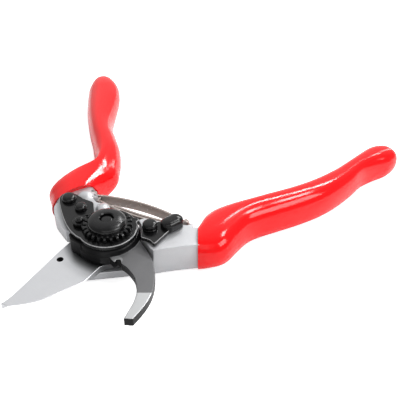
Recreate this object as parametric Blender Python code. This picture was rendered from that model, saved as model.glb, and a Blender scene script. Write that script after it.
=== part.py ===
"""Bypass pruning shears, lying open and flat, as separate pieces.

Units in this file are millimetres until a mesh is made.  +Z is up, the origin is on the pivot
axis at the flat underside of the centre bolt's head, and +X runs along the blade handle's arm.
The blade handle stays still.  The hook handle turns clockwise, seen from above, to close.
"""

import math

import bmesh
import bpy
from mathutils import Vector

MM = 0.001
GAP = 0.3                    # clearance between pieces that touch or slide on each other

# Layers of the head, from the resting surface up
BOLT_HEAD_HEIGHT = 2.6
EYE_THICKNESS = 4.0          # aluminium under the blade
BLADE_THICKNESS = 3.0
HOOK_THICKNESS = 4.0
HUB_HEIGHT = 6.7             # round boss of the counter blade, hook included
PLATE_THICKNESS = 2.0        # steel plate riveted on top of the hook handle
NUT_FLANGE_HEIGHT = 2.0
NUT_DOME_HEIGHT = 3.6

# Round sizes about the pivot
BOLT_RADIUS = 4.0
BOLT_HEAD_RADIUS = 9.5
BUSH_WALL = 1.4
WASHER_RADIUS = 9.0
WASHER_THICKNESS = 0.8
HUB_RADIUS = 14.5
PLATE_RADIUS = 13.3
NUT_RADIUS = 11.0
NUT_TOOTH_DEPTH = 1.7
NUT_TOOTH_COUNT = 24
NUT_DOME_RADIUS = 8.6
NUT_DOME_SIDE = 1.2          # height of the dome's upright side
BOLT_END_RADIUS = 2.7

# Jaws, as the reach of each tip from the pivot
BLADE_REACH = 54.8
HOOK_REACH = 51.7
BLADE_GRIND = 6.5            # width of the ground bevel on the blade's underside
BLADE_EDGE = 0.4             # thickness left at the cutting edge
BLADE_HOLE_RADIUS = 1.4
BLADE_HOLE = (23.1, 207.8)   # reach and direction of the hole in the blade

# Handles
HANDLE_DEPTH = 19.5          # thickness of a coated grip, in Z
ARM_DEPTH = 14.1             # thickness of the bare aluminium arm, in Z
COAT = 1.8                   # thickness of the dipped coating
GRIP_STRETCH = 1.0           # length of the grips, against the drawn one

# Catch
CATCH_PIVOT = (18.8, -0.3)
CATCH_THICKNESS = 2.0
CATCH_SCREW_RADIUS = 1.9
CATCH_SCREW_HEAD_RADIUS = 3.3
CATCH_SCREW_HEAD_HEIGHT = 2.2
CATCH_WASHER_THICKNESS = 0.5
THUMB_PAD_HEIGHT = 3.4

# Leaf spring between the handles
LEAF_THICKNESS = 1.1
LEAF_HEIGHT = 5.2
OUTER_LEAF_RISE = 6.3
INNER_LEAF_RISE = -3.4
HELPER_LEAF_RISE = -1.7
SPRING_PIN_RADIUS = 1.3
SPRING_PIN_SHORTER_BY = 1.4  # at each end, than the arm is thick
EYE_WRAP = 285               # how far the outer leaf curls round each pin, in degrees
HOOK_SIDE_PIN = (-10.0, 31.0)
BLADE_SIDE_PIN = (34.5, 9.5)

# Rivets that hold the plate and the counter blade on the hook handle
PLATE_RIVETS = {"plate_rivet_outer": (-20.0, 20.3, 3.4), "plate_rivet_inner": (-13.6, 13.4, 2.8)}
RIVET_SHANK_SHARE = 0.6
RIVET_HEAD_HEIGHT = 2.3
SEGMENT_SCREW = (-12.6, 2.6)
SEGMENT_SCREW_RADIUS = 1.2
SEGMENT_SCREW_HEAD_HEIGHT = 1.4
SEGMENT_TEETH = range(9, 13)  # gaps between the nut's teeth that the segment fills
BLADE_SCREW = (9.4, -4.6)
BLADE_SCREW_RADIUS = 1.6

# Small edges and allowances
PLATE_EDGE = 0.35            # chamfer on the edges of stamped plates
JAW_EDGE = 0.4               # chamfer on the counter blade and on the eye
CAST_EDGE = 0.95             # chamfer on the forged arms
HUB_EDGE = 0.6
RECESS = 0.9                 # depth at which the bolt's end lies below the nut's crown
THROUGH = 1.0                # how far a cutter runs past the faces it cuts
BEDDED = 0.5                 # how far a raised form is sunk into the plate below it
RIVET_SHANK_LENGTH = 6.4     # below the top of the arm
CATCH_SCREW_LENGTH = 8.0     # below the top of the arm
SCREW_SLOT_SINK = 0.6        # how far the blade screw stays below the blade's face

ROUND = 40                   # sides of a large round piece
SMALL_ROUND = 20             # sides of a screw or pin

# Heights that follow from the layers
EYE_BOTTOM = BOLT_HEAD_HEIGHT + GAP
EYE_TOP = EYE_BOTTOM + EYE_THICKNESS
BLADE_BOTTOM = EYE_TOP + GAP
BLADE_TOP = BLADE_BOTTOM + BLADE_THICKNESS
HUB_BOTTOM = BLADE_TOP + GAP
HUB_TOP = HUB_BOTTOM + HUB_HEIGHT
ARM_TOP = HUB_TOP
ARM_BOTTOM = ARM_TOP - ARM_DEPTH
PLATE_BOTTOM = HUB_TOP + GAP
PLATE_TOP = PLATE_BOTTOM + PLATE_THICKNESS
NUT_BOTTOM = PLATE_TOP + GAP
NUT_TOP = NUT_BOTTOM + NUT_FLANGE_HEIGHT
DOME_TOP = NUT_TOP + NUT_DOME_HEIGHT
SEGMENT_TOP = NUT_TOP - 0.4
CATCH_BOTTOM = ARM_TOP + GAP
CATCH_TOP = CATCH_BOTTOM + CATCH_THICKNESS
MIDDLE = HANDLE_DEPTH / 2
BUSH_HOLE_RADIUS = BOLT_RADIUS + BUSH_WALL + 2 * GAP
ARM_MIDDLE = (ARM_TOP + ARM_BOTTOM) / 2
COAT_WALL = COAT + GAP
SEAT_RADIUS = HUB_RADIUS + 2 * GAP      # hollow in each arm in which the hub turns or sits
EYE_RADIUS = HUB_RADIUS + 1.0           # aluminium under the blade
BLADE_SCREW_SHOULDER = EYE_BOTTOM + 1.3


# ---------------------------------------------------------------- outlines

def polar(reach, degrees, centre=(0.0, 0.0)):
    """A point at a distance and direction from a centre."""
    angle = math.radians(degrees)
    return (centre[0] + reach * math.cos(angle), centre[1] + reach * math.sin(angle))


def arc(radius, start, end, steps, centre=(0.0, 0.0)):
    """Points along an arc, both ends included."""
    return [polar(radius, start + (end - start) * i / steps, centre) for i in range(steps + 1)]


def circle(radius, steps, centre=(0.0, 0.0)):
    """Points around a full circle, counter-clockwise."""
    return arc(radius, 0, 360 * (steps - 1) / steps, steps - 1, centre)


def curve_through(points, steps):
    """A smooth open curve through the points, with some steps in each span."""
    ends = [points[0]] + list(points) + [points[-1]]
    result = []
    for before, here, there, after in zip(ends, ends[1:], ends[2:], ends[3:]):
        for i in range(steps):
            t = i / steps
            result.append(tuple(
                0.5 * (2 * b + (c - a) * t + (2 * a - 5 * b + 4 * c - d) * t * t
                       + (3 * b - a - 3 * c + d) * t ** 3)
                for a, b, c, d in zip(before, here, there, after)))
    return result + [tuple(points[-1])]


def shifted(points, distance, closed=True):
    """The outline moved to its right-hand side, which is outwards for a counter-clockwise one."""
    count = len(points)
    result = []
    for i, point in enumerate(points):
        before = Vector(points[i - 1] if closed or i else point)
        after = Vector(points[(i + 1) % count] if closed or i < count - 1 else point)
        here = Vector(point)
        normals = []
        for side in (here - before, after - here):
            if side.length > 1e-6:
                normals.append(Vector((side.y, -side.x)).normalized())
        mean = sum(normals, Vector((0.0, 0.0))).normalized()
        stretch = max(mean.dot(normals[0]), 0.5)
        result.append(tuple(here + mean * distance / stretch))
    return result


def counter_clockwise(outline):
    """The outline itself, or turned round if it runs clockwise."""
    area = sum(a[0] * b[1] - b[0] * a[1] for a, b in zip(outline, outline[1:] + outline[:1]))
    return outline if area > 0 else outline[::-1]


# ---------------------------------------------------------------- solids

def new_object(name, mesh_data, material, smooth_angle=35):
    """Links a bmesh, given in millimetres, as an object in metres."""
    for vert in mesh_data.verts:
        vert.co *= MM
    mesh = bpy.data.meshes.new(name)
    mesh_data.to_mesh(mesh)
    mesh_data.free()
    mesh.shade_smooth()
    mesh.set_sharp_from_angle(angle=math.radians(smooth_angle))
    mesh.materials.append(material)
    obj = bpy.data.objects.new(name, mesh)
    bpy.context.scene.collection.objects.link(obj)
    return obj


def stack(rings, closed_ends=True):
    """A bmesh skinned over rings of equal count, from the lowest to the highest."""
    mesh_data = bmesh.new()
    rows = [[mesh_data.verts.new(point) for point in ring] for ring in rings]
    count = len(rows[0])
    for low, high in zip(rows, rows[1:]):
        for i in range(count):
            j = (i + 1) % count
            mesh_data.faces.new((low[i], low[j], high[j], high[i]))
    if closed_ends:
        mesh_data.faces.new(tuple(reversed(rows[0])))
        mesh_data.faces.new(tuple(rows[-1]))
    return mesh_data


def slab(outline, bottom, top, chamfer=0.0):
    """A flat plate with the outline, its top and bottom edges chamfered."""
    levels = [(0.0, bottom), (0.0, top)]
    if chamfer:
        levels = [(-chamfer, bottom), (0.0, bottom + chamfer), (0.0, top - chamfer), (-chamfer, top)]
    rings = []
    for inset, height in levels:
        ring = shifted(outline, inset) if inset else outline
        rings.append([(x, y, height) for x, y in ring])
    return stack(rings)


def turned(profile, steps, centre=(0.0, 0.0)):
    """A turned solid.  The profile lists radius and height from the lower middle, outside, to the top.

    A profile that begins and ends at one radius above zero makes a ring with a hole.
    """
    has_hole = profile[0][0] > 0
    mesh_data = bmesh.new()
    rows = []
    for radius, height in profile:
        if radius > 0:
            ring = circle(radius, steps, centre)
            rows.append([mesh_data.verts.new((x, y, height)) for x, y in ring])
        else:
            rows.append([mesh_data.verts.new((centre[0], centre[1], height))])
    pairs = list(zip(rows, rows[1:]))
    if has_hole:
        pairs.append((rows[-1], rows[0]))
    for low, high in pairs:
        for i in range(steps):
            j = (i + 1) % steps
            corners = [low[i % len(low)], low[j % len(low)], high[j % len(high)], high[i % len(high)]]
            unique = list(dict.fromkeys(corners))
            mesh_data.faces.new(unique)
    return mesh_data


def cutter(name, mesh_data, material):
    """A hidden solid used only to cut or to join."""
    obj = new_object(name, mesh_data, material)
    obj.hide_render = True
    obj.display_type = "WIRE"
    return obj


def combine(target, other, operation):
    """A live exact Boolean between two objects."""
    modifier = target.modifiers.new(other.name, "BOOLEAN")
    modifier.operation = operation
    modifier.solver = "EXACT"
    modifier.object = other


def bore(target, name, centre, radius, bottom, top, steps=SMALL_ROUND):
    """A round hole through part of an object."""
    hole = turned([(0, bottom), (radius, bottom), (radius, top), (0, top)], steps, centre)
    combine(target, cutter(name, hole, target.data.materials[0]), "DIFFERENCE")


def paint(name, colour, roughness, metallic):
    """A Principled material."""
    material = bpy.data.materials.new(name)
    material.use_nodes = True
    shader = material.node_tree.nodes["Principled BSDF"]
    shader.inputs["Base Color"].default_value = (*colour, 1.0)
    shader.inputs["Roughness"].default_value = roughness
    shader.inputs["Metallic"].default_value = metallic
    material.diffuse_color = (*colour, 1.0)
    return material


# ---------------------------------------------------------------- jaws

def jaw_point(reach, share, degrees):
    """A jaw's point: its share of the way from the hub's edge to the tip, and its direction."""
    return polar(HUB_RADIUS + (reach - HUB_RADIUS) * share, degrees)


def hook_back(steps=3):
    """The outer edge of the hook, from the hub to the tip."""
    knots = [(0.0, -11.8), (0.086, -22.2), (0.212, -32.1), (0.333, -39.3), (0.478, -47.0),
             (0.60, -52.9), (0.72, -58.7), (0.82, -63.9), (0.919, -69.3), (1.0, -73.5)]
    return curve_through([jaw_point(HOOK_REACH, *knot) for knot in knots], steps)


def hook_outline():
    """The counter blade: hub, hooked back, square tip, hollow inner edge and wire notch."""
    knots = [(0.968, -77.4), (0.882, -74.8), (0.761, -70.6), (0.642, -67.0), (0.53, -64.6),
             (0.409, -62.7), (0.301, -62.9), (0.204, -64.5), (0.135, -67.7)]
    inner = curve_through([jaw_point(HOOK_REACH, *knot) for knot in knots], 2)
    notch = [jaw_point(HOOK_REACH, 0.06, -66.5), jaw_point(HOOK_REACH, 0.05, -72.0),
             jaw_point(HOOK_REACH, 0.09, -76.0)]
    hub = arc(HUB_RADIUS, -82, -348, 34)
    return list(reversed(hook_back() + inner + notch + hub))


def blade_outline():
    """The cutting blade seen from above, counter-clockwise, and which of its points are ground."""
    spine = [(0.065, 171.6), (0.136, 186.9), (0.256, 199.8), (0.427, 210.1), (0.596, 215.9),
             (0.772, 220.1), (0.906, 222.1), (1.0, 222.6)]
    edge = [(0.978, 225.3), (0.876, 229.0), (0.752, 233.4), (0.628, 237.3), (0.504, 240.9),
            (0.39, 245.7), (0.278, 252.1)]
    heel = [(0.141, 255.7), (0.03, 261.2)]
    tang_radius = HUB_RADIUS - 0.5
    spine_points = curve_through([jaw_point(BLADE_REACH, *knot) for knot in spine], 2)
    edge_points = curve_through([jaw_point(BLADE_REACH, *knot) for knot in edge], 2)
    heel_points = [jaw_point(BLADE_REACH, *knot) for knot in heel]
    tang = arc(tang_radius, 275, 515, 24)
    outline = spine_points + edge_points + heel_points + tang
    rest = len(outline) - len(spine_points) - len(edge_points)
    ground = [False] * len(spine_points) + [True] * len(edge_points) + [False] * rest
    return outline, ground


def make_cutting_blade(steel):
    outline, ground = blade_outline()
    tip = Vector(jaw_point(BLADE_REACH, 1.0, 222.6))
    root = Vector(jaw_point(BLADE_REACH, 0.1, 205.0))
    bottom = []
    for point, is_ground in zip(outline, ground):
        here = Vector(point)
        along = min(max((here - root).dot(tip - root) / (tip - root).length_squared, 0.0), 1.0)
        inward = root.lerp(tip, along) - here
        width = min(BLADE_GRIND, inward.length * 0.8)
        bottom.append(tuple(here + inward.normalized() * width) if is_ground else point)
    rings = [[(x, y, BLADE_BOTTOM) for x, y in bottom],
             [(x, y, BLADE_TOP - BLADE_EDGE) for x, y in outline],
             [(x, y, BLADE_TOP) for x, y in outline]]
    blade = new_object("cutting_blade", stack(rings), steel)
    holes = {"cut_blade_pivot": ((0, 0), BUSH_HOLE_RADIUS, ROUND),
             "cut_blade_hole": (polar(*BLADE_HOLE), BLADE_HOLE_RADIUS, SMALL_ROUND),
             "cut_blade_screw": (BLADE_SCREW, BLADE_SCREW_RADIUS + GAP, SMALL_ROUND)}
    for name, (centre, radius, sides) in holes.items():
        bore(blade, name, centre, radius, BLADE_BOTTOM - THROUGH, BLADE_TOP + THROUGH, sides)


def make_counter_blade(steel):
    outline = hook_outline()
    hook_top = HUB_BOTTOM + HOOK_THICKNESS
    blade = new_object("counter_blade", slab(outline, HUB_BOTTOM, hook_top, JAW_EDGE), steel)
    wall = HUB_RADIUS - HUB_EDGE
    sunk = HUB_BOTTOM + 2 * BEDDED
    hub_profile = [(0, sunk), (wall, sunk), (wall, HUB_TOP - HUB_EDGE), (wall - HUB_EDGE, HUB_TOP),
                   (0, HUB_TOP)]
    hub = turned(hub_profile, ROUND)
    combine(blade, cutter("join_hub", hub, steel), "UNION")
    bore(blade, "cut_hub_pivot", (0, 0), BUSH_HOLE_RADIUS, HUB_BOTTOM - THROUGH, HUB_TOP + THROUGH, ROUND)
    washer_seat = HUB_BOTTOM + WASHER_THICKNESS + GAP
    bore(blade, "cut_hub_washer", (0, 0), WASHER_RADIUS + GAP, HUB_BOTTOM - THROUGH, washer_seat, ROUND)
    return blade


def make_hinge_plate(steel):
    """The riveted plate: a disc on the hub, an arm out along the hook handle, and the latch lug."""
    arm = curve_through([(-15.6, -3.2), (-19.8, 4.0), (-23.0, 13.2), (-24.9, 20.6), (-24.1, 24.3),
                         (-21.2, 26.0), (-17.6, 24.8), (-13.4, 21.2), (-8.8, 18.6), (-7.7, 15.0)], 2)
    lug_reach = HUB_RADIUS + 0.2
    lug = [polar(PLATE_RADIUS, 18), polar(lug_reach, 21), polar(lug_reach, 28), polar(PLATE_RADIUS, 31)]
    outline = arm[::-1] + arc(PLATE_RADIUS, 212, 372, 20) + lug + arc(PLATE_RADIUS, 44, 122, 9)
    plate = new_object("hinge_plate", slab(outline, PLATE_BOTTOM, PLATE_TOP, PLATE_EDGE), steel)
    holes = {"cut_plate_pivot": ((0, 0), BOLT_RADIUS + GAP, ROUND),
             "cut_plate_segment": (SEGMENT_SCREW, SEGMENT_SCREW_RADIUS + GAP, SMALL_ROUND)}
    for name, (x, y, radius) in PLATE_RIVETS.items():
        holes["cut_plate_" + name] = ((x, y), radius * RIVET_SHANK_SHARE + GAP, SMALL_ROUND)
    for name, (centre, radius, sides) in holes.items():
        bore(plate, name, centre, radius, PLATE_BOTTOM - THROUGH, PLATE_TOP + THROUGH, sides)
    return plate


# ---------------------------------------------------------------- handles

# Each station: x, y, heading, half width to the right, half width to the left, share of the depth
BLADE_GRIP = [
    (40.0, -3.2, 0, 8.2, 8.6, 0.96), (44.0, 0.6, 6, 11.8, 12.6, 0.99), (49.0, 4.4, 15, 13.4, 13.6, 1.0),
    (54.5, 9.6, 24, 10.6, 12.0, 1.0), (60.5, 14.8, 25, 8.7, 9.6, 1.0), (67.0, 18.6, 23, 8.2, 8.3, 1.0),
    (76.0, 22.7, 23, 8.1, 8.1, 1.0), (85.8, 27.1, 26, 7.9, 7.9, 0.99), (95.6, 32.4, 32, 7.8, 7.7, 0.97),
    (104.0, 38.3, 38, 7.3, 7.3, 0.94), (112.9, 46.2, 43, 6.5, 6.5, 0.90), (120.9, 54.5, 44, 6.0, 6.2, 0.88),
    (128.0, 61.0, 42, 6.9, 7.2, 0.87), (134.5, 66.2, 38, 7.8, 8.2, 0.86), (139.8, 69.6, 33, 6.6, 6.8, 0.74),
    (142.6, 71.2, 31, 4.4, 4.4, 0.50), (143.8, 71.8, 31, 1.6, 1.6, 0.20)]
HOOK_GRIP = [
    (-16.4, 31.2, 120, 8.6, 15.4, 0.96), (-17.4, 36.0, 115, 13.2, 15.4, 0.99),
    (-17.5, 41.4, 107, 16.0, 16.2, 1.0), (-16.5, 47.4, 98, 16.0, 18.0, 1.0),
    (-13.5, 54.0, 90, 13.0, 11.4, 1.0), (-9.6, 60.6, 92, 9.2, 6.6, 1.0),
    (-8.6, 70.0, 100, 7.2, 6.8, 1.0), (-10.9, 80.0, 105, 6.8, 6.5, 0.98),
    (-13.6, 90.0, 103, 6.5, 6.4, 0.95), (-15.3, 100.0, 97, 7.0, 6.9, 0.92),
    (-16.1, 110.0, 93, 8.0, 8.0, 0.90), (-16.5, 120.0, 92, 8.9, 8.9, 0.89),
    (-16.9, 130.0, 93, 9.5, 9.5, 0.88), (-17.8, 140.0, 95, 9.0, 9.1, 0.86),
    (-19.2, 148.0, 99, 6.8, 6.8, 0.74), (-19.9, 152.4, 100, 4.2, 4.2, 0.48),
    (-20.1, 154.0, 100, 1.4, 1.4, 0.18)]
CORE_SHORTER_BY = 3          # stations that the aluminium stops before the grip's end
CAVITY_SIDES = 20
GRIP_SIDES = 24
GRIP_SQUARENESS = 2.5        # exponent of the grips' rounded sections
CORE_SQUARENESS = 4.0        # exponent of the sections of the aluminium inside


def stretched(stations):
    """The grip's stations with their distance from the first one multiplied."""
    x0, y0 = stations[0][:2]
    return [(x0 + (x - x0) * GRIP_STRETCH, y0 + (y - y0) * GRIP_STRETCH, *rest)
            for x, y, *rest in stations]


def section(station, half_depth, middle, sides, squareness, inset=0.0):
    """A rounded section across the handle at a station, facing along its heading."""
    x, y, heading, right, left, share = station
    angle = math.radians(heading)
    across = Vector((-math.sin(angle), math.cos(angle)))
    ring = []
    for i in range(sides):
        phase = 2 * math.pi * (i + 0.5) / sides
        c, s = math.cos(phase), math.sin(phase)
        width = (left if c > 0 else right) - inset
        reach = width * math.copysign(abs(c) ** (2 / squareness), c)
        height = (half_depth * share - inset) * math.copysign(abs(s) ** (2 / squareness), s)
        ring.append((x + across.x * reach, y + across.y * reach, middle + height))
    return ring


def core_sections(stations, grow):
    """The aluminium inside a grip, or with a positive grow the hollow around it."""
    rings = []
    for x, y, heading, right, left, share in stations[:-CORE_SHORTER_BY]:
        station = (x, y, heading, right - COAT_WALL + grow, left - COAT_WALL + grow, 1.0)
        half = ARM_DEPTH / 2 * share + grow
        rings.append(section(station, half, ARM_MIDDLE, CAVITY_SIDES, CORE_SQUARENESS))
    return rings


def core_in_arm(station, back, drop, turn, wider):
    """The core's first section, further back along the handle, inside the bare arm."""
    x, y, heading, right, left, share = station
    x, y = polar(back, heading + 180, (x, y))
    start = (x, y - drop, heading + turn, right - COAT_WALL + wider[0], left - COAT_WALL + wider[1], 1.0)
    return section(start, ARM_DEPTH / 2, ARM_MIDDLE, CAVITY_SIDES, CORE_SQUARENESS)


def make_grip(name, stations, material):
    """The dipped coating: a closed-end sleeve that fits over the handle's core."""
    stations = stretched(stations)
    outer = [section(s, HANDLE_DEPTH / 2, MIDDLE, GRIP_SIDES, GRIP_SQUARENESS)
             for s in curve_through(stations, 2)]
    grip = new_object(name, stack(outer), material)
    hollow = core_sections(stations, GAP)
    back_x, back_y = polar(3 * THROUGH, stations[0][2] + 180)
    entry = [(x + back_x, y + back_y, z) for x, y, z in hollow[0]]
    combine(grip, cutter("cut_" + name, stack([entry] + hollow), material), "DIFFERENCE")
    return grip


def make_blade_forging(aluminium):
    stations = stretched(BLADE_GRIP)
    back = shifted(hook_back(), -2 * GAP, closed=False)
    near_side = [(x, y) for x, y in back if y > -10.8 and x > HUB_RADIUS + 0.1]
    seat_start = math.degrees(math.atan2(near_side[0][1], near_side[0][0]))
    seat = arc(SEAT_RADIUS, 32, seat_start + 4, 8)
    arm_sides = [(20.6, -12.4), (34.0, -9.4), (34.0, 3.0), (27.0, 5.2), (20.0, 8.0), (15.6, 9.4)]
    outline = counter_clockwise(seat + near_side + arm_sides)
    forging = new_object("blade_handle_forging", slab(outline, ARM_BOTTOM, ARM_TOP, CAST_EDGE), aluminium)
    eye = arc(EYE_RADIUS, 60, 200, 14) + [(-13.8, -12.2), (-9.0, -16.8), (10.8, -13.9), (24.0, -11.6),
                                          (24.0, 6.0), (15.0, 9.0)]
    combine(forging, cutter("join_eye", slab(eye, EYE_BOTTOM, EYE_TOP, JAW_EDGE), aluminium), "UNION")
    rings = [core_in_arm(stations[0], 11.0, 0.8, 0, (0.6, 0.4))] + core_sections(stations, 0.0)
    combine(forging, cutter("join_blade_core", stack(rings), aluminium), "UNION")
    add_spring_lug(forging, "blade_side", BLADE_SIDE_PIN, (BLADE_SIDE_PIN[0], 0.0), aluminium)
    bore(forging, "cut_eye_pivot", (0, 0), BUSH_HOLE_RADIUS, EYE_BOTTOM - THROUGH, EYE_TOP + THROUGH, ROUND)
    head = BLADE_SCREW_RADIUS * 2 + GAP
    shank = BLADE_SCREW_RADIUS + GAP
    low = EYE_BOTTOM - THROUGH
    step = BLADE_SCREW_SHOULDER + GAP
    high = EYE_TOP + THROUGH
    stepped = turned([(0, low), (head, low), (head, step), (shank, step), (shank, high), (0, high)],
                     SMALL_ROUND, BLADE_SCREW)
    combine(forging, cutter("cut_eye_screw", stepped, aluminium), "DIFFERENCE")
    bore(forging, "cut_catch_screw", CATCH_PIVOT, CATCH_SCREW_RADIUS + GAP,
         ARM_TOP - CATCH_SCREW_LENGTH - THROUGH, ARM_TOP + THROUGH)


def add_spring_lug(forging, side, pin, anchor, aluminium):
    """Two ears with a slot between them, in which the leaf's eye sits on its pin."""
    radius = SPRING_PIN_RADIUS + 1.9
    direction = (Vector(anchor) - Vector(pin)).normalized()
    across = Vector((-direction.y, direction.x)) * radius
    far = Vector(anchor)
    start = math.degrees(math.atan2(across.y, across.x))
    nose = arc(radius, start, start - 180, 10, pin)
    ear = counter_clockwise(nose + [tuple(far - across), tuple(far + across)])
    slot_half = LEAF_HEIGHT / 2 + GAP
    slot_radius = SPRING_PIN_RADIUS + 2 * GAP + LEAF_THICKNESS + 0.6
    bore(forging, "cut_slot_" + side, pin, slot_radius, MIDDLE - slot_half, MIDDLE + slot_half, ROUND)
    face = slot_half + 0.1
    levels = {"low": (ARM_BOTTOM + 1.2, MIDDLE - face), "high": (MIDDLE + face, ARM_TOP - 1.6)}
    for name, (low, high) in levels.items():
        shape = cutter("join_ear_" + name + "_" + side, slab(ear, low, high), aluminium)
        combine(forging, shape, "UNION")
    bore(forging, "cut_pin_" + side, pin, SPRING_PIN_RADIUS + GAP, ARM_BOTTOM, ARM_TOP)


def make_hook_forging(aluminium):
    stations = stretched(HOOK_GRIP)
    seat = arc(SEAT_RADIUS, 188, 94, 20)
    outer = curve_through([(-26.6, 20.4), (-27.0, 16.6), (-25.2, 9.9), (-20.9, 1.3), (-18.6, -3.2)], 2)
    inner = curve_through([(0.3, 15.6), (-0.4, 18.2), (-4.2, 20.0), (-6.6, 22.0), (-9.4, 25.4)], 2)
    outline = counter_clockwise(outer + seat + inner)
    forging = new_object("hook_handle_forging", slab(outline, HUB_BOTTOM, ARM_TOP, CAST_EDGE), aluminium)
    rings = [core_in_arm(stations[0], 5.6, 0.0, 2, (0.0, -1.5))] + core_sections(stations, 0.0)
    combine(forging, cutter("join_hook_core", stack(rings), aluminium), "UNION")
    for name, (x, y, radius) in PLATE_RIVETS.items():
        bore(forging, "cut_forging_" + name, (x, y), radius * RIVET_SHANK_SHARE + GAP,
             ARM_BOTTOM - THROUGH, ARM_TOP + THROUGH)
    add_spring_lug(forging, "hook_side", HOOK_SIDE_PIN, (-16.0, 24.0), aluminium)
    return forging


# ---------------------------------------------------------------- pivot

def make_centre_bolt(steel):
    shoulder = NUT_BOTTOM - GAP
    profile = [(0, 0), (BOLT_HEAD_RADIUS - 0.8, 0), (BOLT_HEAD_RADIUS, 0.8),
               (BOLT_HEAD_RADIUS, BOLT_HEAD_HEIGHT), (BOLT_RADIUS, BOLT_HEAD_HEIGHT),
               (BOLT_RADIUS, shoulder), (BOLT_END_RADIUS, shoulder),
               (BOLT_END_RADIUS, DOME_TOP - RECESS - 0.5), (BOLT_END_RADIUS - 0.5, DOME_TOP - RECESS),
               (0, DOME_TOP - RECESS)]
    return new_object("centre_bolt", turned(profile, ROUND), steel)


def make_bush(bronze):
    """The bearing sleeve that the bolt turns in."""
    inner = BOLT_RADIUS + GAP
    outer = inner + BUSH_WALL
    profile = [(outer, EYE_BOTTOM + GAP), (outer, HUB_TOP - GAP), (inner, HUB_TOP - GAP),
               (inner, EYE_BOTTOM + GAP)]
    return new_object("pivot_bush", turned(profile, ROUND), bronze)


def make_thrust_washer(bronze):
    inner = BOLT_RADIUS + BUSH_WALL + 2 * GAP
    low = BLADE_TOP + GAP
    high = low + WASHER_THICKNESS
    profile = [(WASHER_RADIUS, low), (WASHER_RADIUS, high), (inner, high), (inner, low)]
    return new_object("thrust_washer", turned(profile, ROUND), bronze)


def make_toothed_nut(steel):
    """A flange cut with square-ended teeth, and the dome above it, with the bolt's end in its middle."""
    outline = []
    for tooth in range(NUT_TOOTH_COUNT):
        middle = 360 / NUT_TOOTH_COUNT * tooth
        root = NUT_RADIUS - NUT_TOOTH_DEPTH
        for reach, turn in ((root, -0.36), (NUT_RADIUS, -0.17), (NUT_RADIUS, 0.17), (root, 0.36)):
            outline.append(polar(reach, middle + turn * 360 / NUT_TOOTH_COUNT))
    nut = new_object("toothed_nut", slab(outline, NUT_BOTTOM, NUT_TOP), steel)
    hole = BOLT_END_RADIUS + GAP
    rim = hole + 0.6
    profile = [(0, NUT_BOTTOM + BEDDED), (NUT_DOME_RADIUS, NUT_BOTTOM + BEDDED)]
    for angle in (0, 15, 32, 50, 68, 90):
        along, up = polar(1.0, angle)
        profile.append((rim + (NUT_DOME_RADIUS - rim) * along,
                        NUT_TOP + NUT_DOME_SIDE + (NUT_DOME_HEIGHT - NUT_DOME_SIDE) * up))
    profile.append((0, DOME_TOP))
    combine(nut, cutter("join_nut_dome", turned(profile, ROUND), steel), "UNION")
    bore(nut, "cut_nut_thread", (0, 0), hole, NUT_BOTTOM - THROUGH, DOME_TOP + THROUGH)
    return nut


def make_locking_segment(steel):
    """A small plate whose inner edge is toothed to hold the nut."""
    inner = []
    pitch = 360 / NUT_TOOTH_COUNT
    root = NUT_RADIUS + GAP
    point = NUT_RADIUS - NUT_TOOTH_DEPTH + 2 * GAP
    for tooth in SEGMENT_TEETH:
        middle = pitch * (tooth + 0.5)
        for reach, turn in ((root, -0.30), (point, -0.10), (point, 0.10), (root, 0.30)):
            inner.append(polar(reach, middle + turn * pitch))
    outer = arc(SEGMENT_SCREW_RADIUS + 1.9, 70, 290, 10, SEGMENT_SCREW)
    outline = counter_clockwise(inner[::-1] + outer)
    segment = new_object("locking_segment", slab(outline, NUT_BOTTOM, SEGMENT_TOP), steel)
    bore(segment, "cut_segment_screw", SEGMENT_SCREW, SEGMENT_SCREW_RADIUS + GAP,
         NUT_BOTTOM - THROUGH, NUT_TOP + THROUGH)
    return segment


def headed_pin(name, centre, radii, heights, material):
    """A screw or rivet: a shank, and above the shoulder a head with a rounded edge.

    The radii are the head's and the shank's, the heights those of the bottom, shoulder and top.
    """
    head, shank = radii
    bottom, shoulder, top = heights
    round_off = head * 0.2
    profile = [(0, bottom), (shank, bottom), (shank, shoulder), (head, shoulder), (head, top - round_off),
               (head - 1.4 * round_off, top), (0, top)]
    return new_object(name, turned(profile, SMALL_ROUND, centre), material)


def make_plate_rivets(steel):
    shoulder = PLATE_TOP + GAP
    heights = (ARM_TOP - RIVET_SHANK_LENGTH, shoulder, shoulder + RIVET_HEAD_HEIGHT)
    rivets = []
    for name, (x, y, radius) in PLATE_RIVETS.items():
        rivets.append(headed_pin(name, (x, y), (radius, radius * RIVET_SHANK_SHARE), heights, steel))
    return rivets


def make_segment_screw(steel):
    shoulder = SEGMENT_TOP + GAP
    heights = (PLATE_BOTTOM, shoulder, shoulder + SEGMENT_SCREW_HEAD_HEIGHT)
    radii = (SEGMENT_SCREW_RADIUS * 1.5, SEGMENT_SCREW_RADIUS)
    return headed_pin("segment_screw", SEGMENT_SCREW, radii, heights, steel)


def make_blade_screw(steel):
    """The screw that holds the blade on the eye from below, its head sunk into the aluminium."""
    head = BLADE_SCREW_RADIUS * 2
    low = EYE_BOTTOM + GAP
    top = BLADE_TOP - SCREW_SLOT_SINK
    shank = BLADE_SCREW_RADIUS
    profile = [(0, low), (head, low), (head, BLADE_SCREW_SHOULDER), (shank, BLADE_SCREW_SHOULDER),
               (shank, top), (0, top)]
    return new_object("blade_screw", turned(profile, SMALL_ROUND, BLADE_SCREW), steel)


# ---------------------------------------------------------------- catch

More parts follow.
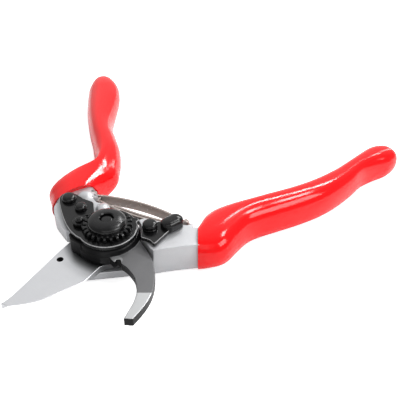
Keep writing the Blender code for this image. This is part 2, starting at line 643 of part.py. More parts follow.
# Corners of the catch's plate, measured from its screw: the nose is at the lower left
CATCH_OUTLINE = [(-3.5, 1.5), (-3.6, -3.0), (-3.5, -6.4), (-1.9, -6.8), (0.6, -8.2), (2.1, -10.4),
                 (3.0, -10.0), (6.4, -5.0), (12.6, 4.0), (13.4, 6.4), (11.6, 7.8), (8.8, 6.8),
                 (4.6, 4.6), (1.2, 3.9), (-2.0, 3.3)]
THUMB_PAD_START = (8.0, 1.6)
THUMB_PAD_HEADING = 37.7
THUMB_PAD_LENGTH = 4.0
THUMB_PAD_RADIUS = 3.5
THUMB_PAD_PROFILE = [(0.0, 0.45), (0.5, 0.75), (1.3, 0.95), (2.2, 1.0)]      # inset, share of the height


def make_catch_lever(steel):
    """The thumb catch: a plate with a hooked nose, and a raised thumb pad at its other end."""
    px, py = CATCH_PIVOT
    low = CATCH_BOTTOM
    high = CATCH_TOP
    outline = counter_clockwise([(px + x, py + y) for x, y in CATCH_OUTLINE])
    lever = new_object("catch_lever", slab(outline, low, high, PLATE_EDGE), steel)
    near = (px + THUMB_PAD_START[0], py + THUMB_PAD_START[1])
    far = polar(THUMB_PAD_LENGTH, THUMB_PAD_HEADING, near)
    stadium = arc(THUMB_PAD_RADIUS, THUMB_PAD_HEADING - 90, THUMB_PAD_HEADING + 90, 9, far)
    stadium += arc(THUMB_PAD_RADIUS, THUMB_PAD_HEADING + 90, THUMB_PAD_HEADING + 270, 9, near)
    rings = [[(x, y, low + BEDDED) for x, y in stadium]]
    for inset, rise in THUMB_PAD_PROFILE:
        ring = shifted(stadium, -inset) if inset else stadium
        rings.append([(x, y, high + THUMB_PAD_HEIGHT * rise) for x, y in ring])
    combine(lever, cutter("join_thumb_pad", stack(rings), steel), "UNION")
    bore(lever, "cut_catch_pivot", CATCH_PIVOT, CATCH_SCREW_RADIUS + GAP, low - THROUGH, high + THROUGH)
    return lever


def make_catch_screw(steel):
    shoulder = CATCH_TOP + CATCH_WASHER_THICKNESS + 2 * GAP
    heights = (ARM_TOP - CATCH_SCREW_LENGTH, shoulder, shoulder + CATCH_SCREW_HEAD_HEIGHT)
    radii = (CATCH_SCREW_HEAD_RADIUS, CATCH_SCREW_RADIUS)
    return headed_pin("catch_screw", CATCH_PIVOT, radii, heights, steel)


def make_catch_washer(steel):
    low = CATCH_TOP + GAP
    high = low + CATCH_WASHER_THICKNESS
    inner = CATCH_SCREW_RADIUS + GAP
    outer = CATCH_SCREW_HEAD_RADIUS + 0.2
    profile = [(outer, low), (outer, high), (inner, high), (inner, low)]
    return new_object("catch_washer", turned(profile, SMALL_ROUND, CATCH_PIVOT), steel)


# ---------------------------------------------------------------- leaf spring

def bow(first, last, rise, start, end, steps):
    """Points of a shallow bow between two points, from one share of the way to another."""
    chord = last - first
    side = Vector((-chord.y, chord.x)).normalized()
    points = []
    for i in range(steps + 1):
        share = start + (end - start) * i / steps
        points.append(first + chord * share + side * rise * (1 - (2 * share - 1) ** 2))
    return points


def make_leaf(name, path, steel):
    """A flat strip on edge along a path."""
    line = [tuple(point) for point in path]
    half = LEAF_THICKNESS / 2
    outline = counter_clockwise(shifted(line, half, closed=False) + shifted(line, -half, closed=False)[::-1])
    low, high = MIDDLE - LEAF_HEIGHT / 2, MIDDLE + LEAF_HEIGHT / 2
    return new_object(name, slab(outline, low, high), steel)


def make_spring_pin(name, centre, steel):
    """A plain pin through both ears, with chamfered ends."""
    low, high = ARM_BOTTOM + SPRING_PIN_SHORTER_BY, ARM_TOP - SPRING_PIN_SHORTER_BY
    tip = SPRING_PIN_RADIUS - PLATE_EDGE
    profile = [(0, low), (tip, low), (SPRING_PIN_RADIUS, low + PLATE_EDGE),
               (SPRING_PIN_RADIUS, high - PLATE_EDGE), (tip, high), (0, high)]
    return new_object(name, turned(profile, SMALL_ROUND, centre), steel)


def make_spring(steel):
    """An outer leaf curled round a pin at each end, and two inner leaves between the curls."""
    first, last = Vector(HOOK_SIDE_PIN), Vector(BLADE_SIDE_PIN)
    chord = last - first
    eye = SPRING_PIN_RADIUS + GAP + LEAF_THICKNESS / 2
    rise = OUTER_LEAF_RISE - eye
    chord_angle = math.degrees(math.atan2(chord.y, chord.x))
    slope = math.degrees(math.atan(4 * rise / chord.length))
    first_angle = chord_angle + slope + 90
    last_angle = chord_angle - slope + 90
    first_curl = arc(eye, first_angle + EYE_WRAP, first_angle, 12, tuple(first))
    last_curl = arc(eye, last_angle, last_angle - EYE_WRAP, 12, tuple(last))
    leaf = bow(Vector(first_curl[-1]), Vector(last_curl[0]), rise, 0.0, 1.0, 24)
    outer = make_leaf("spring_outer_leaf", first_curl + leaf[1:-1] + last_curl, steel)
    clear = (eye + LEAF_THICKNESS + 2 * GAP) / chord.length
    inner = make_leaf("spring_inner_leaf", bow(first, last, INNER_LEAF_RISE, clear, 1 - clear, 20), steel)
    helper_path = bow(first, last, HELPER_LEAF_RISE, 3 * clear, 1 - 3 * clear, 14)
    helper = make_leaf("spring_helper_leaf", helper_path, steel)
    return [outer, inner, helper]


# ---------------------------------------------------------------- assembly

def joint_frame(name, centre):
    """An empty on a joint's axis, to which the pieces that turn about it are parented."""
    empty = bpy.data.objects.new(name, None)
    empty.location = (centre[0] * MM, centre[1] * MM, 0)
    bpy.context.scene.collection.objects.link(empty)
    return empty


def attach(parent, pieces):
    for piece in pieces:
        piece.location = -parent.location
        piece.parent = parent


def main():
    for obj in list(bpy.data.objects):
        bpy.data.objects.remove(obj)

    red = paint("red_coating", (0.80, 0.012, 0.015), 0.22, 0.0)
    aluminium = paint("forged_aluminium", (0.72, 0.72, 0.73), 0.38, 1.0)
    bright = paint("blade_steel", (0.66, 0.67, 0.69), 0.3, 1.0)
    black = paint("black_steel", (0.022, 0.022, 0.024), 0.34, 0.6)
    grey = paint("spring_steel", (0.20, 0.18, 0.17), 0.35, 1.0)
    bronze = paint("bearing_bronze", (0.42, 0.26, 0.12), 0.4, 1.0)

    make_cutting_blade(bright)
    make_blade_forging(aluminium)
    make_grip("blade_handle_grip", BLADE_GRIP, red)
    make_bush(bronze)
    make_blade_screw(black)
    make_catch_screw(black)
    make_catch_washer(grey)
    make_spring_pin("blade_spring_pin", BLADE_SIDE_PIN, grey)

    hook_frame = joint_frame("hook_handle_axis", (0, 0))
    moving = [make_hook_forging(aluminium), make_grip("hook_handle_grip", HOOK_GRIP, red),
              make_counter_blade(black), make_hinge_plate(black), make_centre_bolt(black),
              make_toothed_nut(black), make_locking_segment(black), make_thrust_washer(bronze)]
    moving += make_plate_rivets(black)
    moving += [make_segment_screw(black), make_spring_pin("hook_spring_pin", HOOK_SIDE_PIN, grey)]
    moving += make_spring(grey)
    attach(hook_frame, moving)

    catch_frame = joint_frame("catch_axis", CATCH_PIVOT)
    attach(catch_frame, [make_catch_lever(black)])


main()
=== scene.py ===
"""Looks of the bypass pruning shears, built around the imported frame.

Lengths are in millimetres until a mesh is made.  +Z is up, the origin is on the pivot axis where the
centre bolt's head rests, and +X runs along the bare arm of the handle that carries the cutting blade.
"""

import logging
import math
from dataclasses import dataclass, field
from enum import Enum
from typing import Any, Sequence

import bmesh
import bpy
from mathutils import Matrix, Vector


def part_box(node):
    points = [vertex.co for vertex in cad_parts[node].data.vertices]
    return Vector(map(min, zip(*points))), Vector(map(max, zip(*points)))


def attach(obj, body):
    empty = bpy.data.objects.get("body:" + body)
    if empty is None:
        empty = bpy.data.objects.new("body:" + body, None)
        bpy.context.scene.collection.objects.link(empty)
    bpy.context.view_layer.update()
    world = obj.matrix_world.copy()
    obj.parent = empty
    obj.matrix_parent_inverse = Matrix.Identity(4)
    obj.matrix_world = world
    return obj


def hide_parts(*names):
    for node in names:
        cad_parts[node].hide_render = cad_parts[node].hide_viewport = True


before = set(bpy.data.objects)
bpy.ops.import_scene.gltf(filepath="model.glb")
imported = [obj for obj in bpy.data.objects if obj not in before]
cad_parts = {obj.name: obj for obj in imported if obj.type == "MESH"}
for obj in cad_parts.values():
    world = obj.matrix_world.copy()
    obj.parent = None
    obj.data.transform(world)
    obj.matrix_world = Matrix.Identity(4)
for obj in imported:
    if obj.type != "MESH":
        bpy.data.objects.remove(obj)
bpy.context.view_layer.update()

MM = 0.001
LOG = logging.getLogger("shears")

Point = tuple[float, float]
Place = tuple[float, float, float]
Ring = list[Place]
Station = tuple[float, float, float, float, float, float]


class Body(str, Enum):
    """The moving bodies of the frame."""

    BLADE = "blade_handle"
    HOOK = "hook_handle"
    CATCH = "catch"


class Slot(str, Enum):
    """The record's material slots."""

    RED = "red_coating"
    ALUMINIUM = "forged_aluminium"
    BLADE = "blade_steel"
    BLACK = "black_steel"
    SPRING = "spring_steel"


# ---------------------------------------------------------------- measures from the frame


def heights(node: str) -> Point:
    """Reads how high a CAD node lies.

    Args:
        node: the CAD node's name.

    Returns:
        Its lowest and highest Z, in millimetres.
    """
    low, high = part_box(node)
    return round(low[2] / MM, 3), round(high[2] / MM, 3)


def middle_of(node: str) -> Point:
    """Reads where the middle of a round CAD node is.

    Args:
        node: the CAD node's name.

    Returns:
        The X and Y of its middle, in millimetres.
    """
    low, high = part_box(node)
    return round((low[0] + high[0]) / 2 / MM, 3), round((low[1] + high[1]) / 2 / MM, 3)


def radius_of(node: str) -> float:
    """Reads half the width of a round CAD node, in millimetres."""
    low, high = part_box(node)
    return round((high[0] - low[0]) / 2 / MM, 3)


# ---------------------------------------------------------------- driving sizes

GAP = 0.3                      # play between neighbours
OVER = 1.0                     # how far a cutter stands out of what it cuts
HUB_RADIUS = 14.5              # the counter blade's round hub
BLADE_REACH = 54.8             # from the pivot to the cutting blade's tip
HOOK_REACH = 51.7              # from the pivot to the hook's tip
PIVOT_HOLE = 6.0               # radius of the hole round the bearing sleeve
BLADE_HOLE = (23.1, 207.8)     # the blade's small hole: distance and direction from the pivot
BLADE_HOLE_RADIUS = 1.4
BLADE_SCREW_HOLE = 1.9
CATCH_HOLE = 2.2
SEGMENT_HOLE = 1.5
SHANK_SHARE = 0.6              # a rivet's shank against its head
EYE_LEVELS = (2.9, 6.9)        # the blade handle's eye, under the blade
ARM_BOTTOM = 3.1               # underside of both bare arms
ARM_TOP = heights("blade_handle_forging")[1]
JAW_LOW, HUB_TOP = heights("counter_blade")
SPRING_MIDDLE = 9.75           # height of the spring's middle, which is also the grips' middle
PIVOT = (0.0, 0.0)
RIVETS = ("plate_rivet_outer", "plate_rivet_inner")

# Each knot of the hook's outer edge: share of the way from the hub to the tip, and direction.
HOOK_BACK = [(0.0, -11.8), (0.086, -22.2), (0.212, -32.1), (0.333, -39.3), (0.478, -47.0),
             (0.60, -52.9), (0.72, -58.7), (0.82, -63.9), (0.919, -69.3), (1.0, -73.5)]

# Each station of a grip: X, Y, heading, half widths to the right and left, and share of the depth.
BLADE_GRIP: list[Station] = [
    (40.0, -3.2, 0, 8.2, 8.6, 0.96), (44.0, 0.6, 6, 11.8, 12.6, 0.99), (49.0, 4.4, 15, 13.4, 13.6, 1.0),
    (54.5, 9.6, 24, 10.6, 12.0, 1.0), (60.5, 14.8, 25, 8.7, 9.6, 1.0), (67.0, 18.6, 23, 8.2, 8.3, 1.0),
    (76.0, 22.7, 23, 8.1, 8.1, 1.0), (85.8, 27.1, 26, 7.9, 7.9, 0.99), (95.6, 32.4, 32, 7.8, 7.7, 0.97),
    (104.0, 38.3, 38, 7.3, 7.3, 0.94), (112.9, 46.2, 43, 6.5, 6.5, 0.90), (120.9, 54.2, 43, 5.4, 6.2, 0.88),
    (128.0, 60.2, 40, 6.4, 7.2, 0.87), (134.5, 64.9, 35, 7.6, 8.2, 0.86), (139.7, 68.2, 31, 6.6, 6.8, 0.74),
    (142.5, 69.8, 31, 4.4, 4.4, 0.50), (143.7, 70.4, 31, 1.6, 1.6, 0.20)]
HOOK_GRIP: list[Station] = [
    (-16.4, 31.2, 120, 8.6, 15.4, 0.96), (-17.4, 36.0, 115, 13.2, 15.4, 0.99),
    (-17.5, 41.4, 107, 16.0, 16.2, 1.0), (-16.0, 47.4, 98, 15.5, 10.8, 1.0),
    (-11.8, 54.0, 90, 11.3, 2.2, 1.0), (-9.6, 60.6, 92, 9.2, 3.8, 1.0),
    (-8.6, 70.0, 100, 7.2, 6.8, 1.0), (-10.9, 80.0, 105, 6.8, 6.5, 0.98),
    (-13.6, 90.0, 103, 6.5, 6.4, 0.95), (-15.3, 100.0, 97, 7.0, 6.9, 0.92),
    (-16.1, 110.0, 93, 8.0, 8.0, 0.90), (-16.5, 120.0, 92, 8.9, 8.9, 0.89),
    (-16.9, 130.0, 93, 9.5, 9.5, 0.88), (-17.8, 140.0, 95, 9.0, 9.1, 0.86),
    (-19.2, 148.0, 99, 6.8, 6.8, 0.74), (-19.9, 152.4, 100, 4.2, 4.2, 0.48),
    (-20.1, 154.0, 100, 1.4, 1.4, 0.18)]


# ---------------------------------------------------------------- outlines


def polar(reach: float, degrees: float, centre: Point = (0.0, 0.0)) -> Point:
    """Finds a point at a distance and direction from a centre."""
    angle = math.radians(degrees)
    return (centre[0] + reach * math.cos(angle), centre[1] + reach * math.sin(angle))


def arc(radius: float, start: float, end: float, steps: int, centre: Point = (0.0, 0.0)) -> list[Point]:
    """Lists points along an arc, both ends included."""
    return [polar(radius, start + (end - start) * i / steps, centre) for i in range(steps + 1)]


def circle(radius: float, sides: int, centre: Point = (0.0, 0.0)) -> list[Point]:
    """Lists points around a full circle, counter-clockwise."""
    return [polar(radius, 360 * i / sides, centre) for i in range(sides)]


def curve_through(points: Sequence[Sequence[float]], steps: int) -> list[tuple]:
    """Draws a smooth open curve through points of any number of values.

    Args:
        points: the points that the curve passes.
        steps: how many steps each span is cut into.

    Returns:
        The points of the curve, the last one included.
    """
    ends = [points[0], *points, points[-1]]
    result = []
    for before, here, there, after in zip(ends, ends[1:], ends[2:], ends[3:]):
        for i in range(steps):
            t = i / steps
            result.append(tuple(
                0.5 * (2 * b + (c - a) * t + (2 * a - 5 * b + 4 * c - d) * t * t
                       + (3 * b - a - 3 * c + d) * t ** 3)
                for a, b, c, d in zip(before, here, there, after)))
    return [*result, tuple(points[-1])]


def shifted(outline: Sequence[Point], distance: float, closed: bool = True) -> list[Point]:
    """Moves an outline to its right-hand side, which is outwards on a counter-clockwise one.

    Args:
        outline: the points of the outline.
        distance: how far each side moves.
        closed: whether the last point joins the first.

    Returns:
        The moved points, as many as before.
    """
    count = len(outline)
    result = []
    for i, point in enumerate(outline):
        before = Vector(outline[i - 1] if closed or i else point)
        after = Vector(outline[(i + 1) % count] if closed or i < count - 1 else point)
        here = Vector(point)
        normals = [Vector((s.y, -s.x)).normalized() for s in (here - before, after - here) if s.length > 1e-6]
        mean = sum(normals, Vector((0.0, 0.0))).normalized()
        stretch = max(mean.dot(normals[0]), 0.5)
        result.append(tuple(here + mean * distance / stretch))
    return result


def counter_clockwise(outline: list[Point]) -> list[Point]:
    """Turns an outline round if it runs clockwise."""
    area = sum(a[0] * b[1] - b[0] * a[1] for a, b in zip(outline, outline[1:] + outline[:1]))
    return outline if area > 0 else outline[::-1]


def rounded_section(station: Sequence[float], squareness: float, half: float, middle: float, sides: int,
                    wall: float = 0.0) -> Ring:
    """Draws a rounded section across a handle at a station.

    Args:
        station: X, Y, heading, and half widths to the right and left.
        squareness: 2 gives an ellipse, more gives a squarer section.
        half: half the section's depth.
        middle: height of its middle.
        sides: how many points it has.
        wall: how much narrower it is on each side.

    Returns:
        The section's points.
    """
    x, y, heading, right, left = station[:5]
    angle = math.radians(heading)
    across = Vector((-math.sin(angle), math.cos(angle)))
    ring = []
    for i in range(sides):
        phase = 2 * math.pi * (i + 0.5) / sides
        c, s = math.cos(phase), math.sin(phase)
        reach = ((left if c > 0 else right) - wall) * math.copysign(abs(c) ** (2 / squareness), c)
        height = half * math.copysign(abs(s) ** (2 / squareness), s)
        ring.append((x + across.x * reach, y + across.y * reach, middle + height))
    return ring


def jaw_point(reach: float, share: float, degrees: float) -> Point:
    """Finds a jaw's point from its share of the way from the hub's edge to the tip, and its direction."""
    return polar(HUB_RADIUS + (reach - HUB_RADIUS) * share, degrees)


def hook_back(steps: int) -> list[Point]:
    """Draws the outer edge of the hook, from the hub to the tip."""
    return curve_through([jaw_point(HOOK_REACH, *knot) for knot in HOOK_BACK], steps)


# ---------------------------------------------------------------- meshes


def skin(rings: Sequence[Ring]) -> bmesh.types.BMesh:
    """Skins a closed solid over rings of equal count and closes both ends.

    Args:
        rings: the rings, from one end to the other.

    Returns:
        The mesh, its faces pointing outwards.
    """
    shape = bmesh.new()
    rows = [[shape.verts.new(point) for point in ring] for ring in rings]
    count = len(rows[0])
    for low, high in zip(rows, rows[1:]):
        for i in range(count):
            j = (i + 1) % count
            shape.faces.new((low[i], low[j], high[j], high[i]))
    shape.faces.new(tuple(reversed(rows[0])))
    shape.faces.new(tuple(rows[-1]))
    if shape.calc_volume(signed=True) < 0:
        bmesh.ops.reverse_faces(shape, faces=shape.faces)
    return shape


def block(outline: list[Point], low: float, high: float) -> bmesh.types.BMesh:
    """Makes a sharp-edged block of an outline between two heights."""
    return skin([[(x, y, z) for x, y in outline] for z in (low, high)])


def rounding(radius: float, steps: int) -> list[Point]:
    """Lists the rings of a rounded edge, from its side to its face.

    Args:
        radius: the edge's radius.
        steps: how many steps it has.

    Returns:
        How far in and how far down each ring lies.
    """
    result = []
    for i in range(steps + 1):
        angle = math.pi / 2 * i / steps
        result.append((radius * (1 - math.cos(angle)), radius * (1 - math.sin(angle))))
    return result


def plate(outline: list[Point], low: float, high: float, top: float = 0.4, bottom: float = 0.4,
          steps: int = 4, rim: float = 0.12) -> bmesh.types.BMesh:
    """Makes a flat plate with rounded edges.

    Args:
        outline: its counter-clockwise outline.
        low: height of its underside.
        high: height of its upper face.
        top: radius of the upper edge.
        bottom: radius of the lower edge.
        steps: rings in each rounded edge.
        rim: width of the flat ring beside each rounded edge.

    Returns:
        The closed mesh.
    """
    levels = [(inset, low + drop) for inset, drop in reversed(rounding(bottom, steps))]
    levels += [(inset, high - drop) for inset, drop in rounding(top, steps)]
    levels = [(bottom + rim, low), *levels, (top + rim, high)]
    rings = []
    for inset, height in levels:
        ring = shifted(outline, -inset) if inset > 1e-6 else outline
        rings.append([(x, y, height) for x, y in ring])
    return skin(rings)


def lathe(profile: Sequence[Point], sides: int, centre: Point = (0.0, 0.0)) -> bmesh.types.BMesh:
    """Turns a profile round an upright axis.

    Args:
        profile: radius and height of each point.  From a zero radius to a zero radius it makes a solid,
            otherwise it is closed on itself and makes a ring.
        sides: how many sides the round has.
        centre: where the axis stands.

    Returns:
        The closed mesh.
    """
    shape = bmesh.new()
    rows = []
    for radius, height in profile:
        if radius > 0:
            rows.append([shape.verts.new((x, y, height)) for x, y in circle(radius, sides, centre)])
        else:
            rows.append([shape.verts.new((*centre, height))])
    pairs = list(zip(rows, rows[1:]))
    if profile[0][0] > 0:
        pairs.append((rows[-1], rows[0]))
    for low, high in pairs:
        for i in range(sides):
            j = (i + 1) % sides
            corners = [low[i % len(low)], low[j % len(low)], high[j % len(high)], high[i % len(high)]]
            shape.faces.new(list(dict.fromkeys(corners)))
    if shape.calc_volume(signed=True) < 0:
        bmesh.ops.reverse_faces(shape, faces=shape.faces)
    return shape


def softened(profile: Sequence[Point], radius: float = 0.25, steps: int = 3) -> list[Point]:
    """Rounds the corners of an open profile.

    Args:
        profile: the points of the profile; its two ends stay as they are.
        radius: how far from a corner the rounding starts.
        steps: points along each rounded corner.

    Returns:
        The profile with a short curve at each corner.
    """
    result = [profile[0]]
    for before, here, after in zip(profile, profile[1:], profile[2:]):
        corner = Vector(here)
        back = Vector(before) - corner
        on = Vector(after) - corner
        start = corner + back.normalized() * min(radius, back.length * 0.45)
        end = corner + on.normalized() * min(radius, on.length * 0.45)
        for i in range(steps + 1):
            t = i / steps
            result.append(tuple(start.lerp(corner, t).lerp(corner.lerp(end, t), t)))
    return [*result, profile[-1]]


def to_object(name: str, shape: bmesh.types.BMesh, material: bpy.types.Material | None = None,
              sharp: float = 38) -> bpy.types.Object:
    """Links a mesh given in millimetres as an object in metres.

    Args:
        name: the object's name.
        shape: the mesh, which is freed.
        material: its material, if it has one yet.
        sharp: edges bent by more than this many degrees stay crisp.

    Returns:
        The object, at the origin.
    """
    bmesh.ops.scale(shape, vec=(MM, MM, MM), verts=shape.verts)
    mesh = bpy.data.meshes.new(name)
    shape.to_mesh(mesh)
    shape.free()
    mesh.shade_smooth()
    mesh.set_sharp_from_angle(angle=math.radians(sharp))
    if material:
        mesh.materials.append(material)
    obj = bpy.data.objects.new(name, mesh)
    bpy.context.scene.collection.objects.link(obj)
    return obj


def settle(obj: bpy.types.Object, sharp: float = 38) -> bpy.types.Object:
    """Turns an object's modifiers into plain mesh.

    Args:
        obj: the object, which loses its modifiers.
        sharp: edges bent by more than this many degrees stay crisp.

    Returns:
        The same object.
    """
    graph = bpy.context.evaluated_depsgraph_get()
    mesh = bpy.data.meshes.new_from_object(obj.evaluated_get(graph))
    obj.modifiers.clear()
    if obj.type == "MESH":
        old = obj.data
        obj.data = mesh
        bpy.data.meshes.remove(old)
        result = obj
    else:
        name = obj.name
        bpy.data.objects.remove(obj)
        result = bpy.data.objects.new(name, mesh)
        bpy.context.scene.collection.objects.link(result)
    mesh.shade_smooth()
    mesh.set_sharp_from_angle(angle=math.radians(sharp))
    return result


def combine(obj: bpy.types.Object, shape: bmesh.types.BMesh, operation: str) -> None:
    """Joins or cuts an object with another solid.

    Args:
        obj: the object to change.
        shape: the other solid, in millimetres.
        operation: UNION or DIFFERENCE.
    """
    other = to_object("cutter", shape)
    modifier = obj.modifiers.new(operation.lower(), "BOOLEAN")
    modifier.operation = operation
    modifier.solver = "EXACT"
    modifier.object = other
    settle(obj)
    mesh = other.data
    bpy.data.objects.remove(other)
    bpy.data.meshes.remove(mesh)


def forge(name: str, shapes: Sequence[bmesh.types.BMesh], finish: bpy.types.Material, grain: float = 0.3,
          passes: int = 5) -> bpy.types.Object:
    """Makes one body out of overlapping solids, with the soft edges and fillets of a forging.

    Args:
        name: the object's name.
        shapes: the solids, in millimetres.
        finish: its material.
        grain: size of the grid that the body is drawn on, mm.
        passes: how often the surface is smoothed, which rounds its edges.

    Returns:
        The body.
    """
    whole = bmesh.new()
    for shape in shapes:
        part = bpy.data.meshes.new("part")
        shape.to_mesh(part)
        shape.free()
        whole.from_mesh(part)
        bpy.data.meshes.remove(part)
    body = to_object(name, whole, finish)
    body.modifiers.new("grid", "REMESH").voxel_size = grain * MM
    body.modifiers.new("smooth", "SMOOTH").iterations = passes
    settle(body, sharp=180)
    return body


def drill(obj: bpy.types.Object, centre: Point, radius: float, low: float, high: float,
          sides: int = 32) -> None:
    """Cuts a round hole through an object between two heights."""
    combine(obj, lathe([(0, low), (radius, low), (radius, high), (0, high)], sides, centre), "DIFFERENCE")


# ---------------------------------------------------------------- materials


def linear(colour: str) -> tuple[float, float, float, float]:
    """Turns an sRGB hex colour to linear light.

    Args:
        colour: six hex digits.

    Returns:
        Red, green, blue and an alpha of 1.
    """
    values = [int(colour[i:i + 2], 16) / 255 for i in (0, 2, 4)]
    return (*[v / 12.92 if v <= 0.04045 else ((v + 0.055) / 1.055) ** 2.4 for v in values], 1.0)


def per(size: float) -> float:
    """Gives the texture scale at which a pattern's features measure so many millimetres."""
    return 1 / (size * MM)


def feed(tree: bpy.types.NodeTree, node: Any, inputs: dict[Any, Any]) -> None:
    """Sets or links a node's inputs.

    Args:
        tree: the node's tree.
        node: the node.
        inputs: for each input, by name or number, a value or the socket that feeds it.
    """
    for key, value in inputs.items():
        if isinstance(value, bpy.types.NodeSocket):
            tree.links.new(value, node.inputs[key])
        else:
            node.inputs[key].default_value = value


def add(tree: bpy.types.NodeTree, kind: str, inputs: dict[Any, Any] | None = None, **settings: Any) -> Any:
    """Adds a node with its settings and links.

    Args:
        tree: the tree it goes into.
        kind: the node's type.
        inputs: for each input, by name or number, a value or the socket that feeds it.
        settings: properties of the node itself.

    Returns:
        The node.
    """
    node = tree.nodes.new(kind)
    for name, value in settings.items():
        setattr(node, name, value)
    feed(tree, node, inputs or {})
    return node


def blank(name: str) -> tuple[bpy.types.Material, bpy.types.NodeTree, Any, Any]:
    """Starts a material.

    Args:
        name: the material's name.

    Returns:
        The material, its tree, its Principled shader and its Texture Coordinate node.
    """
    material = bpy.data.materials.new(name)
    material.use_nodes = True
    tree = material.node_tree
    return material, tree, tree.nodes["Principled BSDF"], add(tree, "ShaderNodeTexCoord")


# Thick and wet-looking: crisp reflections that waver a little, and a red that is deeper in patches.
@dataclass(frozen=True)
class DippedVinyl:
    """Plasticised PVC, dipped over the handle and cured."""

    name: str = "dipped_pvc_cured_glossy"
    colour: str = "ec080e"
    deeper: str = "e2060c"
    patch: float = 22            # width of the deeper patches
    smear: float = 9             # width of the duller smears
    peel: float = 3.2            # width of the waves that the dip leaves
    pore: float = 0.35           # width of the fine unevenness
    index: float = 1.53          # refraction of soft PVC
    gloss: Point = (0.08, 0.16)

    def build(self) -> bpy.types.Material:
        """Makes the material."""
        material, tree, shader, coords = blank(self.name)
        place = coords.outputs["Object"]
        clouds = add(tree, "ShaderNodeTexNoise", {"Vector": place, "Scale": per(self.patch), "Detail": 3.0})
        smear = add(tree, "ShaderNodeTexNoise", {"Vector": place, "Scale": per(self.smear), "Detail": 5.0})
        waves = add(tree, "ShaderNodeTexNoise", {"Vector": place, "Scale": per(self.peel), "Detail": 1.0})
        pores = add(tree, "ShaderNodeTexNoise", {"Vector": place, "Scale": per(self.pore), "Detail": 2.0})
        red = add(tree, "ShaderNodeMix", {0: clouds.outputs["Fac"], 6: linear(self.colour),
                                          7: linear(self.deeper)}, data_type="RGBA")
        dulled = add(tree, "ShaderNodeMapRange", {"Value": smear.outputs["Fac"], "To Min": self.gloss[0],
                                                  "To Max": self.gloss[1]})
        fine = add(tree, "ShaderNodeBump", {"Strength": 0.06, "Distance": 0.02 * MM,
                                            "Height": pores.outputs["Fac"]})
        coarse = add(tree, "ShaderNodeBump", {"Strength": 0.08, "Distance": 0.03 * MM,
                                              "Height": waves.outputs["Fac"],
                                              "Normal": fine.outputs["Normal"]})
        feed(tree, shader, {"Base Color": red.outputs[2], "Roughness": dulled.outputs["Result"],
                            "Normal": coarse.outputs["Normal"], "IOR": self.index, "Specular IOR Level": 0.3})
        return material


# Pale and even, with a soft sparkle and no clear reflection.
@dataclass(frozen=True)
class BlastedAluminium:
    """Forged aluminium, blasted with fine grit."""

    name: str = "forged_aluminium_grit_blasted"
    colour: str = "c2c3c5"
    shade: str = "b5b6b9"
    fleck: str = "e4e4e5"
    stain: float = 11            # width of the faint stains
    grit: float = 0.28           # drawn a little coarser than the real grit so that it shows

    def build(self) -> bpy.types.Material:
        """Makes the material."""
        material, tree, shader, coords = blank(self.name)
        place = coords.outputs["Object"]
        stain = add(tree, "ShaderNodeTexNoise", {"Vector": place, "Scale": per(self.stain), "Detail": 4.0})
        grain = add(tree, "ShaderNodeTexNoise", {"Vector": place, "Scale": per(self.grit), "Detail": 3.0})
        base = add(tree, "ShaderNodeMix", {0: stain.outputs["Fac"], 6: linear(self.colour),
                                           7: linear(self.shade)}, data_type="RGBA")
        specks = add(tree, "ShaderNodeMapRange", {"Value": grain.outputs["Fac"], "From Min": 0.55,
                                                  "From Max": 0.8, "To Min": 0.0, "To Max": 0.3})
        colour = add(tree, "ShaderNodeMix", {0: specks.outputs["Result"], 6: base.outputs[2],
                                             7: linear(self.fleck)}, data_type="RGBA")
        matt = add(tree, "ShaderNodeMapRange", {"Value": stain.outputs["Fac"], "To Min": 0.38, "To Max": 0.5})
        bump = add(tree, "ShaderNodeBump", {"Strength": 0.35, "Distance": 0.03 * MM,
                                            "Height": grain.outputs["Fac"]})
        feed(tree, shader, {"Base Color": colour.outputs[2], "Roughness": matt.outputs["Result"],
                            "Normal": bump.outputs["Normal"], "Metallic": 0.6})
        return material


